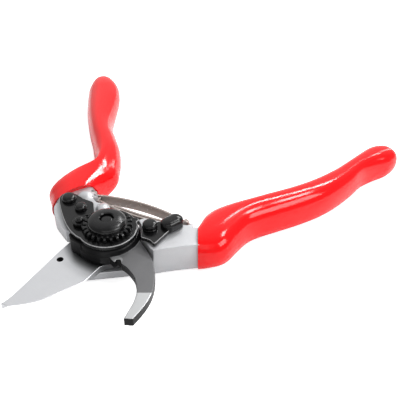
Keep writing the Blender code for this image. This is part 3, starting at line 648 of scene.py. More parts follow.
# Bright satin with fine straight lines across the blade, with painted shade and a painted dark reflection
# round the hub, and painted shade in the small hole.
@dataclass(frozen=True)
class GroundSteel:
    """Hardened blade steel, surface-ground across its width."""

    name: str = "blade_steel_surface_ground"
    colour: str = "dedfe1"
    shade: str = "d0d1d4"
    groove: str = "c4c5c8"
    painted_shade: str = "1e1e1f"
    line: float = 0.16           # spacing of the grinding lines
    cloud: float = 7             # width of the paler and darker patches
    heading: float = 43.0        # direction of the blade, degrees
    hub_shade_ring: Point = (14.8, 20.5)  # where the painted shade round the hub starts and ends, from the pivot
    bore_shade_rim: Point = (1.45, 1.6)   # where the painted shade on the hole's wall ends, from the hole's middle

    def build(self) -> bpy.types.Material:
        """Makes the material."""
        material, tree, shader, coords = blank(self.name)
        place = coords.outputs["Object"]
        turned = add(tree, "ShaderNodeMapping", {"Vector": place,
                                                 "Rotation": (0, 0, math.radians(-self.heading))})
        along = add(tree, "ShaderNodeVectorMath", {0: turned.outputs["Vector"], 1: (1.0, 0.03, 1.0)},
                    operation="MULTIPLY")
        lines = add(tree, "ShaderNodeTexNoise", {"Vector": along.outputs["Vector"], "Scale": per(self.line),
                                                 "Detail": 2.0})
        cloud = add(tree, "ShaderNodeTexNoise", {"Vector": place, "Scale": per(self.cloud), "Detail": 5.0,
                                                 "Roughness": 0.6})
        tone = add(tree, "ShaderNodeMix", {0: cloud.outputs["Fac"], 6: linear(self.colour),
                                           7: linear(self.shade)}, data_type="RGBA")
        cut = add(tree, "ShaderNodeMapRange", {"Value": lines.outputs["Fac"], "To Min": 0.0, "To Max": 0.35})
        ground = add(tree, "ShaderNodeMix", {0: cut.outputs["Result"], 6: tone.outputs[2],
                                             7: linear(self.groove)}, data_type="RGBA")
        flat = add(tree, "ShaderNodeVectorMath", {0: place, 1: (1.0, 1.0, 0.0)}, operation="MULTIPLY")
        reach = add(tree, "ShaderNodeVectorMath", {0: flat.outputs["Vector"]}, operation="LENGTH")
        # Painted shade and dark reflection round the hub, fading outwards.
        ring = add(tree, "ShaderNodeMapRange", {"Value": reach.outputs["Value"],
                                                "From Min": self.hub_shade_ring[0] * MM,
                                                "From Max": self.hub_shade_ring[1] * MM,
                                                "To Min": 0.85, "To Max": 0.0})
        # Painted shade on the wall of the small hole.
        hole = [v * MM for v in polar(*BLADE_HOLE)]
        inside = add(tree, "ShaderNodeVectorMath", {0: flat.outputs["Vector"], 1: (*hole, 0.0)},
                     operation="DISTANCE")
        bore = add(tree, "ShaderNodeMapRange", {"Value": inside.outputs["Value"],
                                                "From Min": self.bore_shade_rim[0] * MM,
                                                "From Max": self.bore_shade_rim[1] * MM,
                                                "To Min": 1.0, "To Max": 0.0})
        painted_shade_mask = add(tree, "ShaderNodeMath", {0: ring.outputs["Result"], 1: bore.outputs["Result"]},
                    operation="MAXIMUM")
        colour = add(tree, "ShaderNodeMix", {0: painted_shade_mask.outputs[0], 6: ground.outputs[2], 7: linear(self.painted_shade)},
                     data_type="RGBA")
        satin = add(tree, "ShaderNodeMapRange", {"Value": cloud.outputs["Fac"], "To Min": 0.30,
                                                 "To Max": 0.44})
        bump = add(tree, "ShaderNodeBump", {"Strength": 0.22, "Distance": 0.015 * MM,
                                            "Height": lines.outputs["Fac"]})
        feed(tree, shader, {"Base Color": colour.outputs[2], "Roughness": satin.outputs["Result"],
                            "Normal": bump.outputs["Normal"], "Metallic": 1.0})
        return material


# Deep semi-gloss black, a little greyer where it is handled, with a painted highlight on its low rounded
# edges, broken up in patches like wear.
@dataclass(frozen=True)
class BlackedSteel:
    """Stamped steel, stove-enamelled black."""

    name: str = "stamped_steel_black_enamel"
    colour: str = "0b0b0c"
    worn: str = "1b1b1c"
    highlight_and_bare: str = "b9b9ba"
    roughness: float = 0.2
    wear: float = 4.5            # width of the handled patches
    grain: float = 0.5           # width of the enamel's fine unevenness
    highlight_below: float = 19.6      # rounded edges lower than this get the painted highlight

    def build(self) -> bpy.types.Material:
        """Makes the material."""
        material, tree, shader, coords = blank(self.name)
        place = coords.outputs["Object"]
        wear = add(tree, "ShaderNodeTexNoise", {"Vector": place, "Scale": per(self.wear), "Detail": 6.0,
                                                "Roughness": 0.62})
        rub = add(tree, "ShaderNodeMapRange", {"Value": wear.outputs["Fac"], "From Min": 0.48,
                                               "From Max": 0.75})
        enamel = add(tree, "ShaderNodeMix", {0: rub.outputs["Result"], 6: linear(self.colour),
                                             7: linear(self.worn)}, data_type="RGBA")
        # Painted highlight on the low rounded edges, broken up in patches by the wear noise.
        slope = add(tree, "ShaderNodeSeparateXYZ", {"Vector": coords.outputs["Normal"]})
        height = add(tree, "ShaderNodeSeparateXYZ", {"Vector": place})
        low = add(tree, "ShaderNodeMapRange", {"Value": height.outputs["Z"], "From Min": self.highlight_below * MM,
                                               "From Max": (self.highlight_below + 0.1) * MM,
                                               "To Min": 1.0, "To Max": 0.0})
        leaning = add(tree, "ShaderNodeMapRange", {"Value": slope.outputs["Z"], "From Min": 0.25,
                                                   "From Max": 0.45})
        not_flat = add(tree, "ShaderNodeMapRange", {"Value": slope.outputs["Z"], "From Min": 0.85,
                                                    "From Max": 0.97, "To Min": 1.0, "To Max": 0.0})
        curved = add(tree, "ShaderNodeMath", {0: leaning.outputs["Result"], 1: not_flat.outputs["Result"]},
                     operation="MULTIPLY")
        edge = add(tree, "ShaderNodeMath", {0: curved.outputs[0], 1: low.outputs["Result"]},
                   operation="MULTIPLY")
        patchy = add(tree, "ShaderNodeMapRange", {"Value": wear.outputs["Fac"], "To Min": 0.35,
                                                  "To Max": 0.9})
        edge_highlight = add(tree, "ShaderNodeMath", {0: edge.outputs[0], 1: patchy.outputs["Result"]},
                    operation="MULTIPLY")
        colour = add(tree, "ShaderNodeMix", {0: edge_highlight.outputs[0], 6: enamel.outputs[2], 7: linear(self.highlight_and_bare)},
                     data_type="RGBA")
        sheen = add(tree, "ShaderNodeMapRange", {"Value": rub.outputs["Result"], "To Min": self.roughness,
                                                 "To Max": self.roughness + 0.16})
        grain = add(tree, "ShaderNodeTexNoise", {"Vector": place, "Scale": per(self.grain), "Detail": 2.0})
        bump = add(tree, "ShaderNodeBump", {"Strength": 0.1, "Distance": 0.02 * MM,
                                            "Height": grain.outputs["Fac"]})
        feed(tree, shader, {"Base Color": colour.outputs[2], "Roughness": sheen.outputs["Result"],
                            "Normal": bump.outputs["Normal"], "Specular IOR Level": 0.34})
        return material


# Black all over but for its ground upper face, which carries a painted reflection, dark grey up to a straight
# line and bright on the tip beyond it, and a bright patch beside the wire notch.
@dataclass(frozen=True)
class CounterSteel:
    """Carbon steel, blacked in oil and then ground on its upper face."""

    name: str = "counter_steel_part_ground"
    black: str = "101011"
    dark_reflection: str = "6c6c6d"
    dark_reflection_patch: str = "5a5a5c"
    bright: str = "bcbdbe"
    bright_shade: str = "a4a5a6"
    cloud: float = 8             # width of the patches in the painted dark reflection
    line: float = 0.3            # spacing of the grinding lines
    ground_below: float = 15.2   # faces higher than this, on the hub, stay black
    reflection_line: float = -35.3      # Y at which the painted bright reflection starts
    notch_patch: Place = (5.0, -15.9, 14.5)  # middle of the bright patch beside the wire notch
    notch_patch_radius: float = 2.4

    def build(self) -> bpy.types.Material:
        """Makes the material."""
        material, tree, shader, coords = blank(self.name)
        place = coords.outputs["Object"]
        axes = add(tree, "ShaderNodeSeparateXYZ", {"Vector": place})
        normal = add(tree, "ShaderNodeSeparateXYZ", {"Vector": coords.outputs["Normal"]})
        face = add(tree, "ShaderNodeMapRange", {"Value": normal.outputs["Z"], "From Min": 0.90,
                                                "From Max": 0.97})
        under_rim = add(tree, "ShaderNodeMapRange", {"Value": axes.outputs["Z"],
                                                     "From Min": self.ground_below * MM,
                                                     "From Max": (self.ground_below + 0.2) * MM,
                                                     "To Min": 1.0, "To Max": 0.0})
        ground = add(tree, "ShaderNodeMath", {0: face.outputs["Result"], 1: under_rim.outputs["Result"]},
                     operation="MULTIPLY").outputs[0]
        along = add(tree, "ShaderNodeVectorMath", {0: place, 1: (0.06, 1.0, 1.0)}, operation="MULTIPLY")
        grind = add(tree, "ShaderNodeTexNoise", {"Vector": along.outputs["Vector"], "Scale": per(self.line),
                                                 "Detail": 3.0})
        cloud = add(tree, "ShaderNodeTexNoise", {"Vector": place, "Scale": per(self.cloud), "Detail": 4.0})
        # Painted dark reflection on the ground face, patchy.
        dark_reflection = add(tree, "ShaderNodeMix", {0: cloud.outputs["Fac"], 6: linear(self.dark_reflection),
                                           7: linear(self.dark_reflection_patch)}, data_type="RGBA")
        # Where the painted reflection turns from dark grey to bright: a straight line across the hook.
        tip = add(tree, "ShaderNodeMapRange", {"Value": axes.outputs["Y"],
                                               "From Min": (self.reflection_line - 0.12) * MM,
                                               "From Max": (self.reflection_line + 0.12) * MM,
                                               "To Min": 1.0, "To Max": 0.0})
        distance = add(tree, "ShaderNodeVectorMath", {0: place, 1: [v * MM for v in self.notch_patch]},
                       operation="DISTANCE")
        notch_patch = add(tree, "ShaderNodeMapRange", {"Value": distance.outputs["Value"],
                                                "From Min": self.notch_patch_radius * MM,
                                                "From Max": (self.notch_patch_radius + 0.5) * MM,
                                                "To Min": 0.55, "To Max": 0.0})
        bright = add(tree, "ShaderNodeMath", {0: tip.outputs["Result"], 1: notch_patch.outputs["Result"]},
                     operation="MAXIMUM").outputs[0]
        lines = add(tree, "ShaderNodeMapRange", {"Value": grind.outputs["Fac"], "To Min": 0.0,
                                                 "To Max": 0.25})
        shine = add(tree, "ShaderNodeMix", {0: lines.outputs["Result"], 6: linear(self.bright),
                                            7: linear(self.bright_shade)}, data_type="RGBA")
        faced = add(tree, "ShaderNodeMix", {0: bright, 6: dark_reflection.outputs[2], 7: shine.outputs[2]},
                    data_type="RGBA")
        colour = add(tree, "ShaderNodeMix", {0: ground, 6: linear(self.black), 7: faced.outputs[2]},
                     data_type="RGBA")
        satin = add(tree, "ShaderNodeMapRange", {"Value": ground, "To Min": 0.28, "To Max": 0.46})
        shiny = add(tree, "ShaderNodeMapRange", {"Value": ground, "To Min": 0.16, "To Max": 0.5})
        highlight_and_bare = add(tree, "ShaderNodeMapRange", {"Value": bright, "To Min": 0.35, "To Max": 1.0})
        metal = add(tree, "ShaderNodeMath", {0: ground, 1: highlight_and_bare.outputs["Result"]}, operation="MULTIPLY")
        bump = add(tree, "ShaderNodeBump", {"Strength": 0.2, "Distance": 0.02 * MM,
                                            "Height": grind.outputs["Fac"]})
        feed(tree, shader, {"Base Color": colour.outputs[2], "Roughness": satin.outputs["Result"],
                            "Specular IOR Level": shiny.outputs["Result"], "Metallic": metal.outputs[0],
                            "Normal": bump.outputs["Normal"]})
        return material


# Warm grey-brown from the tempering, with rolling lines along it, small ticks and bright rubs.
@dataclass(frozen=True)
class SpringStrip:
    """Spring steel strip, rolled and tempered."""

    name: str = "spring_steel_rolled_tempered"
    colour: str = "b5aba6"
    dark: str = "90857f"
    tick: str = "9a918d"
    rubbed: str = "e8e4e0"
    line: float = 0.4            # spacing of the rolling lines
    tick_width: float = 0.6
    rub: float = 1.1             # width of the bright rubs

    def build(self) -> bpy.types.Material:
        """Makes the material."""
        material, tree, shader, coords = blank(self.name)
        place = coords.outputs["Object"]
        flat = add(tree, "ShaderNodeVectorMath", {0: place, 1: (0.12, 0.12, 1.0)}, operation="MULTIPLY")
        tall = add(tree, "ShaderNodeVectorMath", {0: place, 1: (1.0, 1.0, 0.1)}, operation="MULTIPLY")
        rolled = add(tree, "ShaderNodeTexNoise", {"Vector": flat.outputs["Vector"], "Scale": per(self.line),
                                                  "Detail": 3.0})
        ticks = add(tree, "ShaderNodeTexNoise", {"Vector": tall.outputs["Vector"],
                                                 "Scale": per(self.tick_width), "Detail": 2.0})
        rubs = add(tree, "ShaderNodeTexNoise", {"Vector": place, "Scale": per(self.rub), "Detail": 4.0})
        tone = add(tree, "ShaderNodeMix", {0: rolled.outputs["Fac"], 6: linear(self.colour),
                                           7: linear(self.dark)}, data_type="RGBA")
        marks = add(tree, "ShaderNodeMapRange", {"Value": ticks.outputs["Fac"], "From Min": 0.45,
                                                 "From Max": 0.7, "To Min": 0.0, "To Max": 0.5})
        ticked = add(tree, "ShaderNodeMix", {0: marks.outputs["Result"], 6: tone.outputs[2],
                                             7: linear(self.tick)}, data_type="RGBA")
        worn = add(tree, "ShaderNodeMapRange", {"Value": rubs.outputs["Fac"], "From Min": 0.66,
                                                "From Max": 0.72})
        colour = add(tree, "ShaderNodeMix", {0: worn.outputs["Result"], 6: ticked.outputs[2],
                                             7: linear(self.rubbed)}, data_type="RGBA")
        sheen = add(tree, "ShaderNodeMapRange", {"Value": rolled.outputs["Fac"], "To Min": 0.26,
                                                 "To Max": 0.42})
        bump = add(tree, "ShaderNodeBump", {"Strength": 0.25, "Distance": 0.02 * MM,
                                            "Height": ticks.outputs["Fac"]})
        feed(tree, shader, {"Base Color": colour.outputs[2], "Roughness": sheen.outputs["Result"],
                            "Normal": bump.outputs["Normal"], "Metallic": 0.6})
        return material


# Warm brown-gold with tool rings and a film of old grease.
@dataclass(frozen=True)
class BearingBronze:
    """Sintered bearing bronze, turned."""

    name: str = "bearing_bronze_turned"
    colour: str = "b0804a"
    grease: str = "5a4226"
    ring: float = 0.3            # spacing of the tool rings
    film: float = 3              # width of the greasy patches

    def build(self) -> bpy.types.Material:
        """Makes the material."""
        material, tree, shader, coords = blank(self.name)
        place = coords.outputs["Object"]
        flat = add(tree, "ShaderNodeVectorMath", {0: place, 1: (0.1, 0.1, 1.0)}, operation="MULTIPLY")
        rings = add(tree, "ShaderNodeTexNoise", {"Vector": flat.outputs["Vector"], "Scale": per(self.ring)})
        film = add(tree, "ShaderNodeTexNoise", {"Vector": place, "Scale": per(self.film), "Detail": 5.0})
        colour = add(tree, "ShaderNodeMix", {0: film.outputs["Fac"], 6: linear(self.colour),
                                             7: linear(self.grease)}, data_type="RGBA")
        sheen = add(tree, "ShaderNodeMapRange", {"Value": film.outputs["Fac"], "To Min": 0.3, "To Max": 0.5})
        bump = add(tree, "ShaderNodeBump", {"Strength": 0.3, "Distance": 0.02 * MM,
                                            "Height": rings.outputs["Fac"]})
        feed(tree, shader, {"Base Color": colour.outputs[2], "Roughness": sheen.outputs["Result"],
                            "Normal": bump.outputs["Normal"], "Metallic": 1.0})
        return material


# Even, shadowless white: it glows a little, for the camera alone.
@dataclass(frozen=True)
class StudioPaper:
    """Matt white background paper."""

    name: str = "studio_paper_matt"
    colour: str = "fdfdfd"
    shade: str = "fafafa"
    fibre: float = 60            # width of the faint clouds in the paper
    glow: float = 0.7

    def build(self) -> bpy.types.Material:
        """Makes the material."""
        material, tree, shader, coords = blank(self.name)
        fibre = add(tree, "ShaderNodeTexNoise", {"Vector": coords.outputs["Object"],
                                                 "Scale": per(self.fibre), "Detail": 3.0})
        colour = add(tree, "ShaderNodeMix", {0: fibre.outputs["Fac"], 6: linear(self.colour),
                                             7: linear(self.shade)}, data_type="RGBA")
        seen = add(tree, "ShaderNodeLightPath").outputs["Is Camera Ray"]
        glow = add(tree, "ShaderNodeMapRange", {"Value": seen, "To Min": 0.0, "To Max": self.glow})
        feed(tree, shader, {"Base Color": colour.outputs[2], "Roughness": 0.9, "Specular IOR Level": 0.0,
                            "Emission Color": linear("ffffff"), "Emission Strength": glow.outputs["Result"]})
        return material


@dataclass
class Finishes:
    """One built material for each finish."""

    red: bpy.types.Material = field(default_factory=lambda: DippedVinyl().build())
    aluminium: bpy.types.Material = field(default_factory=lambda: BlastedAluminium().build())
    blade: bpy.types.Material = field(default_factory=lambda: GroundSteel().build())
    black: bpy.types.Material = field(default_factory=lambda: BlackedSteel().build())
    counter: bpy.types.Material = field(default_factory=lambda: CounterSteel().build())
    spring: bpy.types.Material = field(default_factory=lambda: SpringStrip().build())
    bronze: bpy.types.Material = field(default_factory=lambda: BearingBronze().build())


def place_piece(obj: bpy.types.Object, body: Body, slot: Slot, *nodes: str) -> None:
    """Hands a finished piece to the frame and reports it.

    Args:
        obj: the piece.
        body: the body it rides on.
        slot: the record's slot for its finish; not used.
        nodes: the CAD nodes it stands for.
    """
    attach(obj, body.value)
    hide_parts(*nodes)
    LOG.info("%s: %d faces, rides on %s", obj.name, len(obj.data.polygons), body.value)


# ---------------------------------------------------------------- geometry node trees


@dataclass
class NodeForm:
    """A geometry node tree with named inputs, run once on an object and turned to plain mesh."""

    name: str
    sizes: dict[str, float | int]

    def start(self) -> tuple[bpy.types.NodeTree, Any]:
        """Makes the empty tree with its inputs.

        Returns:
            The tree and its input node.
        """
        tree = bpy.data.node_groups.new(self.name, "GeometryNodeTree")
        tree.interface.new_socket("Geometry", in_out="INPUT", socket_type="NodeSocketGeometry")
        for name, value in self.sizes.items():
            kind = "NodeSocketInt" if isinstance(value, int) else "NodeSocketFloat"
            tree.interface.new_socket(name, in_out="INPUT", socket_type=kind)
        tree.interface.new_socket("Material", in_out="INPUT", socket_type="NodeSocketMaterial")
        tree.interface.new_socket("Geometry", in_out="OUTPUT", socket_type="NodeSocketGeometry")
        return tree, add(tree, "NodeGroupInput")

    def end(self, tree: bpy.types.NodeTree, source: Any, geometry: bpy.types.NodeSocket) -> None:
        """Ends the tree: instances become real mesh, and the material is set.

        Args:
            tree: the tree.
            source: its input node.
            geometry: the shape that it has made.
        """
        real = add(tree, "GeometryNodeRealizeInstances", {0: geometry})
        painted = add(tree, "GeometryNodeSetMaterial", {0: real.outputs[0],
                                                        "Material": source.outputs["Material"]})
        add(tree, "NodeGroupOutput", {0: painted.outputs[0]})

    def run(self, obj: bpy.types.Object, tree: bpy.types.NodeTree,
            material: bpy.types.Material) -> bpy.types.Object:
        """Runs the tree on an object.

        Args:
            obj: the object that carries the modifier.
            tree: the finished tree.
            material: the material of the result.

        Returns:
            The object with the result as plain mesh.
        """
        modifier = obj.modifiers.new(self.name, "NODES")
        modifier.node_group = tree
        values: dict[str, Any] = {**self.sizes, "Material": material}
        for item in tree.interface.items_tree:
            if item.in_out == "INPUT" and item.name in values:
                modifier[item.identifier] = values[item.name]
        return settle(obj)


def toothed_disc(form: NodeForm) -> bpy.types.NodeTree:
    """Builds the tree of a flat disc with rounded teeth and a chamfered upper edge.

    Args:
        form: the sizes Teeth, Tip radius, Root share, Low, Side, Chamfer and Shrink.

    Returns:
        The tree.
    """
    tree, source = form.start()
    sizes = source.outputs
    points_per_tooth = 12
    count = add(tree, "ShaderNodeMath", {0: sizes["Teeth"], 1: float(points_per_tooth)}, operation="MULTIPLY")
    disc = add(tree, "GeometryNodeMeshCircle", {"Vertices": count.outputs[0], "Radius": sizes["Tip radius"]},
               fill_type="NGON")
    index = add(tree, "GeometryNodeInputIndex")
    phase = add(tree, "ShaderNodeMath", {0: index.outputs[0], 1: math.tau / points_per_tooth},
                operation="MULTIPLY")
    wave = add(tree, "ShaderNodeMath", {0: phase.outputs[0]}, operation="COSINE")
    reach = add(tree, "ShaderNodeMapRange", {"Value": wave.outputs[0], "From Min": -0.45, "From Max": 0.25,
                                             "To Min": sizes["Root share"], "To Max": 1.0},
                interpolation_type="SMOOTHSTEP")
    lift = add(tree, "ShaderNodeCombineXYZ", {"Z": sizes["Low"]})
    scaled = add(tree, "ShaderNodeVectorMath", {0: add(tree, "GeometryNodeInputPosition").outputs[0],
                                                "Scale": reach.outputs[0]}, operation="SCALE")
    shaped = add(tree, "GeometryNodeSetPosition", {0: disc.outputs["Mesh"], "Position": scaled.outputs[0],
                                                   "Offset": lift.outputs[0]})
    up = add(tree, "ShaderNodeCombineXYZ", {"Z": 1.0})
    side = add(tree, "GeometryNodeExtrudeMesh", {"Mesh": shaped.outputs[0], "Offset": up.outputs[0],
                                                 "Offset Scale": sizes["Side"], "Individual": False})
    crown = add(tree, "GeometryNodeExtrudeMesh", {"Mesh": side.outputs["Mesh"],
                                                  "Selection": side.outputs["Top"],
                                                  "Offset": up.outputs[0], "Offset Scale": sizes["Chamfer"],
                                                  "Individual": False})
    drawn_in = add(tree, "GeometryNodeScaleElements", {"Geometry": crown.outputs["Mesh"],
                                                       "Selection": crown.outputs["Top"],
                                                       "Scale": sizes["Shrink"]})
    bottom = add(tree, "GeometryNodeFlipFaces", {0: shaped.outputs[0]})
    both = add(tree, "GeometryNodeJoinGeometry", {0: drawn_in.outputs[0]})
    tree.links.new(bottom.outputs[0], both.inputs[0])
    closed = add(tree, "GeometryNodeMergeByDistance", {0: both.outputs[0], "Distance": 1e-6})
    form.end(tree, source, closed.outputs[0])
    return tree


def strip_along_path(form: NodeForm) -> bpy.types.NodeTree:
    """Builds the tree of a flat strip on edge, with rounded edges, that follows a curve.

    Args:
        form: the sizes Thickness, Height and Edge.

    Returns:
        The tree.
    """
    tree, source = form.start()
    sizes = source.outputs
    upright = add(tree, "GeometryNodeSetCurveNormal", {0: sizes["Geometry"]}, mode="Z_UP")
    profile = add(tree, "GeometryNodeCurvePrimitiveQuadrilateral", {"Width": sizes["Thickness"],
                                                                    "Height": sizes["Height"]})
    rounded = add(tree, "GeometryNodeFilletCurve", {"Curve": profile.outputs[0], "Radius": sizes["Edge"],
                                                    "Count": 3, "Limit Radius": True}, mode="POLY")
    strip = add(tree, "GeometryNodeCurveToMesh", {"Curve": upright.outputs[0],
                                                  "Profile Curve": rounded.outputs[0], "Fill Caps": True})
    form.end(tree, source, strip.outputs[0])
    return tree


# ---------------------------------------------------------------- handles


@dataclass
class DippedGrip:
    """One handle's thick red coating."""

    name: str
    body: Body
    stations: list[Station]
    squareness: float
    half_depth: float = SPRING_MIDDLE
    middle: float = SPRING_MIDDLE
    sides: int = 72
    steps: int = 12
    mouth: tuple[Point, ...] = ((0.5, 0.4), (0.93, 0.36), (0.985, 0.1))  # share of the section, and set-back

    def section(self, station: Sequence[float]) -> Ring:
        """Draws the rounded section across the handle at a station."""
        return rounded_section(station, self.squareness, self.half_depth * station[5], self.middle,
                               self.sides)

    def lip(self, station: Sequence[float], share: float, back: float) -> Ring:
        """Draws a smaller section that closes an end, set back along the handle.

        Args:
            station: the section that is closed.
            share: size of the smaller section against it.
            back: how far back it lies.

        Returns:
            The section's points.
        """
        x, y, heading, right, left, depth = station
        x, y = polar(back, heading, (x, y))
        return self.section((x, y, heading, right * share, left * share, depth * share))

    def rings(self) -> list[Ring]:
        """Lists the sections from the entry to the closed end.

        Returns:
            The sections, with the smaller ones that round off both ends.
        """
        run = curve_through(self.stations, self.steps)
        opening = [self.lip(run[0], share, back) for share, back in self.mouth]
        return [*opening, *[self.section(station) for station in run], self.lip(run[-1], 0.6, -0.02)]

    def build(self, finish: bpy.types.Material) -> None:
        """Makes the coating and hands it over."""
        grip = to_object(self.name + "_skin", skin(self.rings()), finish, sharp=60)
        place_piece(grip, self.body, Slot.RED, self.name)


@dataclass
class SpringLug:
    """Two ears on a forging that hold one end of the spring on its pin."""

    pin: Point
    anchor: Point
    radius: float = 3.2
    slot_radius: float = 3.6
    slot_half: float = 2.9
    pin_hole: float = 1.6
    middle: float = SPRING_MIDDLE
    low: float = 4.3
    high: float = 15.6

    def ears(self) -> list[bmesh.types.BMesh]:
        """Makes the lower and the upper ear.

        Returns:
            The two solids.
        """
        direction = (Vector(self.anchor) - Vector(self.pin)).normalized()
        across = Vector((-direction.y, direction.x)) * self.radius
        far = Vector(self.anchor)
        start = math.degrees(math.atan2(across.y, across.x))
        nose = arc(self.radius, start, start - 180, 24, self.pin)
        ear = counter_clockwise([*nose, tuple(far - across), tuple(far + across)])
        face = self.slot_half + 0.1
        return [block(ear, self.low, self.middle - face), block(ear, self.middle + face, self.high)]

    def cut(self, forging: bpy.types.Object) -> None:
        """Cuts the slot and the pin's hole out of the forging."""
        drill(forging, self.pin, self.slot_radius, self.middle - self.slot_half,
              self.middle + self.slot_half, 48)
        drill(forging, self.pin, self.pin_hole, ARM_BOTTOM, ARM_TOP)


@dataclass
class ForgedArm:
    """What both handles' bare aluminium has in common."""

    bottom: float = ARM_BOTTOM
    top: float = ARM_TOP
    squareness: float = 4.0
    wall: float = 2.1
    sides: int = 64

    def core_section(self, station: Sequence[float], half: float) -> Ring:
        """Draws a section of the core that runs into the grip, half as deep as told."""
        return rounded_section(station, self.squareness, half, (self.top + self.bottom) / 2, self.sides,
                               self.wall)

    def core(self, stations: list[Station], back: float, drop: float, turn: float, wider: Point,
             length: int = 2) -> bmesh.types.BMesh:
        """Makes the short core between the bare arm and the inside of the grip.

        Args:
            stations: the grip's stations.
            back: how far back it starts inside the arm.
            drop: how far the start is moved along -Y.
            turn: how far the start is turned, in degrees.
            wider: what is added to the start's right and left half width.
            length: how many of the grip's stations it passes.

        Returns:
            The core.
        """
        x, y, heading, right, left, _ = stations[0]
        x, y = polar(back, heading + 180, (x, y))
        half = (self.top - self.bottom) / 2
        start = (x, y - drop, heading + turn, right + wider[0], left + wider[1], 1.0)
        passed = (start, *stations[:length])
        return skin([self.core_section(station, half * station[5]) for station in passed])


@dataclass
class BladeHandle(ForgedArm):
    """The bare aluminium of the handle that carries the blade: arm, eye under the blade, and lug."""

    sides_of_arm: tuple[Point, ...] = ((20.6, -12.4), (34.0, -9.9), (40.5, -9.0), (44.0, -7.0), (44.0, 2.0),
                                       (40.5, 2.9), (34.0, 3.4), (27.0, 5.2), (20.0, 8.0), (15.6, 9.4))
    sides_of_eye: tuple[Point, ...] = ((-13.8, -12.2), (-9.0, -16.8), (10.8, -13.9), (24.0, -11.6),
                                       (24.0, 6.0), (15.0, 9.0))
    lug_anchor: Point = (34.5, 0.0)
    screw_head: float = 3.5
    screw_levels: Place = (1.9, 4.5, 7.9)    # below the head's recess, its floor, and above the hole

    def arm_outline(self) -> list[Point]:
        """Draws the arm's outline, whose end follows the hub and the hook's back with some play.

        Returns:
            The points, counter-clockwise.
        """
        back = shifted(hook_back(6), -2 * GAP, closed=False)
        near_side = [(x, y) for x, y in back if y > -10.8 and x > HUB_RADIUS + 0.1]
        start = math.degrees(math.atan2(near_side[0][1], near_side[0][0]))
        seat = arc(HUB_RADIUS + 2 * GAP, 32, start + 4, 16)
        return counter_clockwise([*seat, *near_side, *self.sides_of_arm])

    def build(self, finish: bpy.types.Material) -> None:
        """Makes the forging and hands it over."""
        lug = SpringLug(middle_of("blade_spring_pin"), self.lug_anchor)
        eye = [*arc(HUB_RADIUS + 1, 60, 200, 40), *self.sides_of_eye]
        forging = forge("blade_arm_forging",
                        [block(self.arm_outline(), self.bottom, self.top), block(eye, *EYE_LEVELS),
                         self.core(BLADE_GRIP, 11.0, 0.8, 0, (0.6, 0.4)), *lug.ears()], finish)
        lug.cut(forging)
        drill(forging, PIVOT, PIVOT_HOLE, EYE_LEVELS[0] - OVER, EYE_LEVELS[1] + OVER, 64)
        low, floor, high = self.screw_levels
        stepped = [(0, low), (self.screw_head, low), (self.screw_head, floor), (BLADE_SCREW_HOLE, floor),
                   (BLADE_SCREW_HOLE, high), (0, high)]
        combine(forging, lathe(stepped, 32, middle_of("blade_screw")), "DIFFERENCE")
        drill(forging, middle_of("catch_screw"), CATCH_HOLE, 8.2, self.top + OVER)
        place_piece(forging, Body.BLADE, Slot.ALUMINIUM, "blade_handle_forging")


@dataclass
class HookHandle(ForgedArm):
    """The bare aluminium of the handle that carries the counter blade, half round its hub."""

    low: float = JAW_LOW
    boss_rise: float = 1.7
    boss_skirt: float = 0.8          # how far below the forging's face a boss starts to round over
    outer: tuple[Point, ...] = ((-26.6, 20.4), (-27.0, 16.6), (-25.2, 9.9), (-21.9, 4.4), (-18.9, 0.1))
    inner: tuple[Point, ...] = ((-0.9, 15.4), (-1.2, 18.0), (-3.6, 20.4), (-7.4, 21.2), (-9.8, 24.6))
    lug_anchor: Point = (-16.0, 24.0)

    def boss(self, centre: Point, half_width: float, half_length: float) -> bmesh.types.BMesh:
        """Makes an egg-shaped swelling on the forging's upper face.

        Args:
            centre: the middle of the swelling.
            half_width: half its size along X.
            half_length: half its size along Y.

        Returns:
            The solid.
        """
        root, skirt = self.low + 2, self.top - self.boss_skirt
        crown = [(x, skirt + (self.boss_rise + self.boss_skirt) * y)
                 for x, y in (polar(1.0, angle) for angle in range(10, 90, 10))]
        swelling = lathe([(0, root), (1.0, root), (1.0, skirt), *crown, (0, self.top + self.boss_rise)], 40)
        for vert in swelling.verts:
            vert.co.x = centre[0] + vert.co.x * half_width
            vert.co.y = centre[1] + vert.co.y * half_length
        return swelling

    def build(self, finish: bpy.types.Material) -> None:
        """Makes the forging and hands it over."""
        seat = arc(HUB_RADIUS + 2 * GAP, 180, 94, 40)
        outline = counter_clockwise([*curve_through(self.outer, 5), *seat, *curve_through(self.inner, 5)])
        lug = SpringLug(middle_of("hook_spring_pin"), self.lug_anchor)
        forging = forge("hook_arm_forging",
                        [block(outline, self.low, self.top),
                         self.core(HOOK_GRIP, 5.6, 0.0, 2, (0.0, -1.5)), *lug.ears(),
                         self.boss((-4.2, 16.4), 3.2, 4.2), self.boss((-13.6, 26.4), 4.2, 3.6)], finish)
        for rivet in RIVETS:
            drill(forging, middle_of(rivet), radius_of(rivet) * SHANK_SHARE + GAP, self.bottom - OVER,
                  self.top + OVER)
        lug.cut(forging)
        place_piece(forging, Body.HOOK, Slot.ALUMINIUM, "hook_handle_forging")


# ---------------------------------------------------------------- jaws


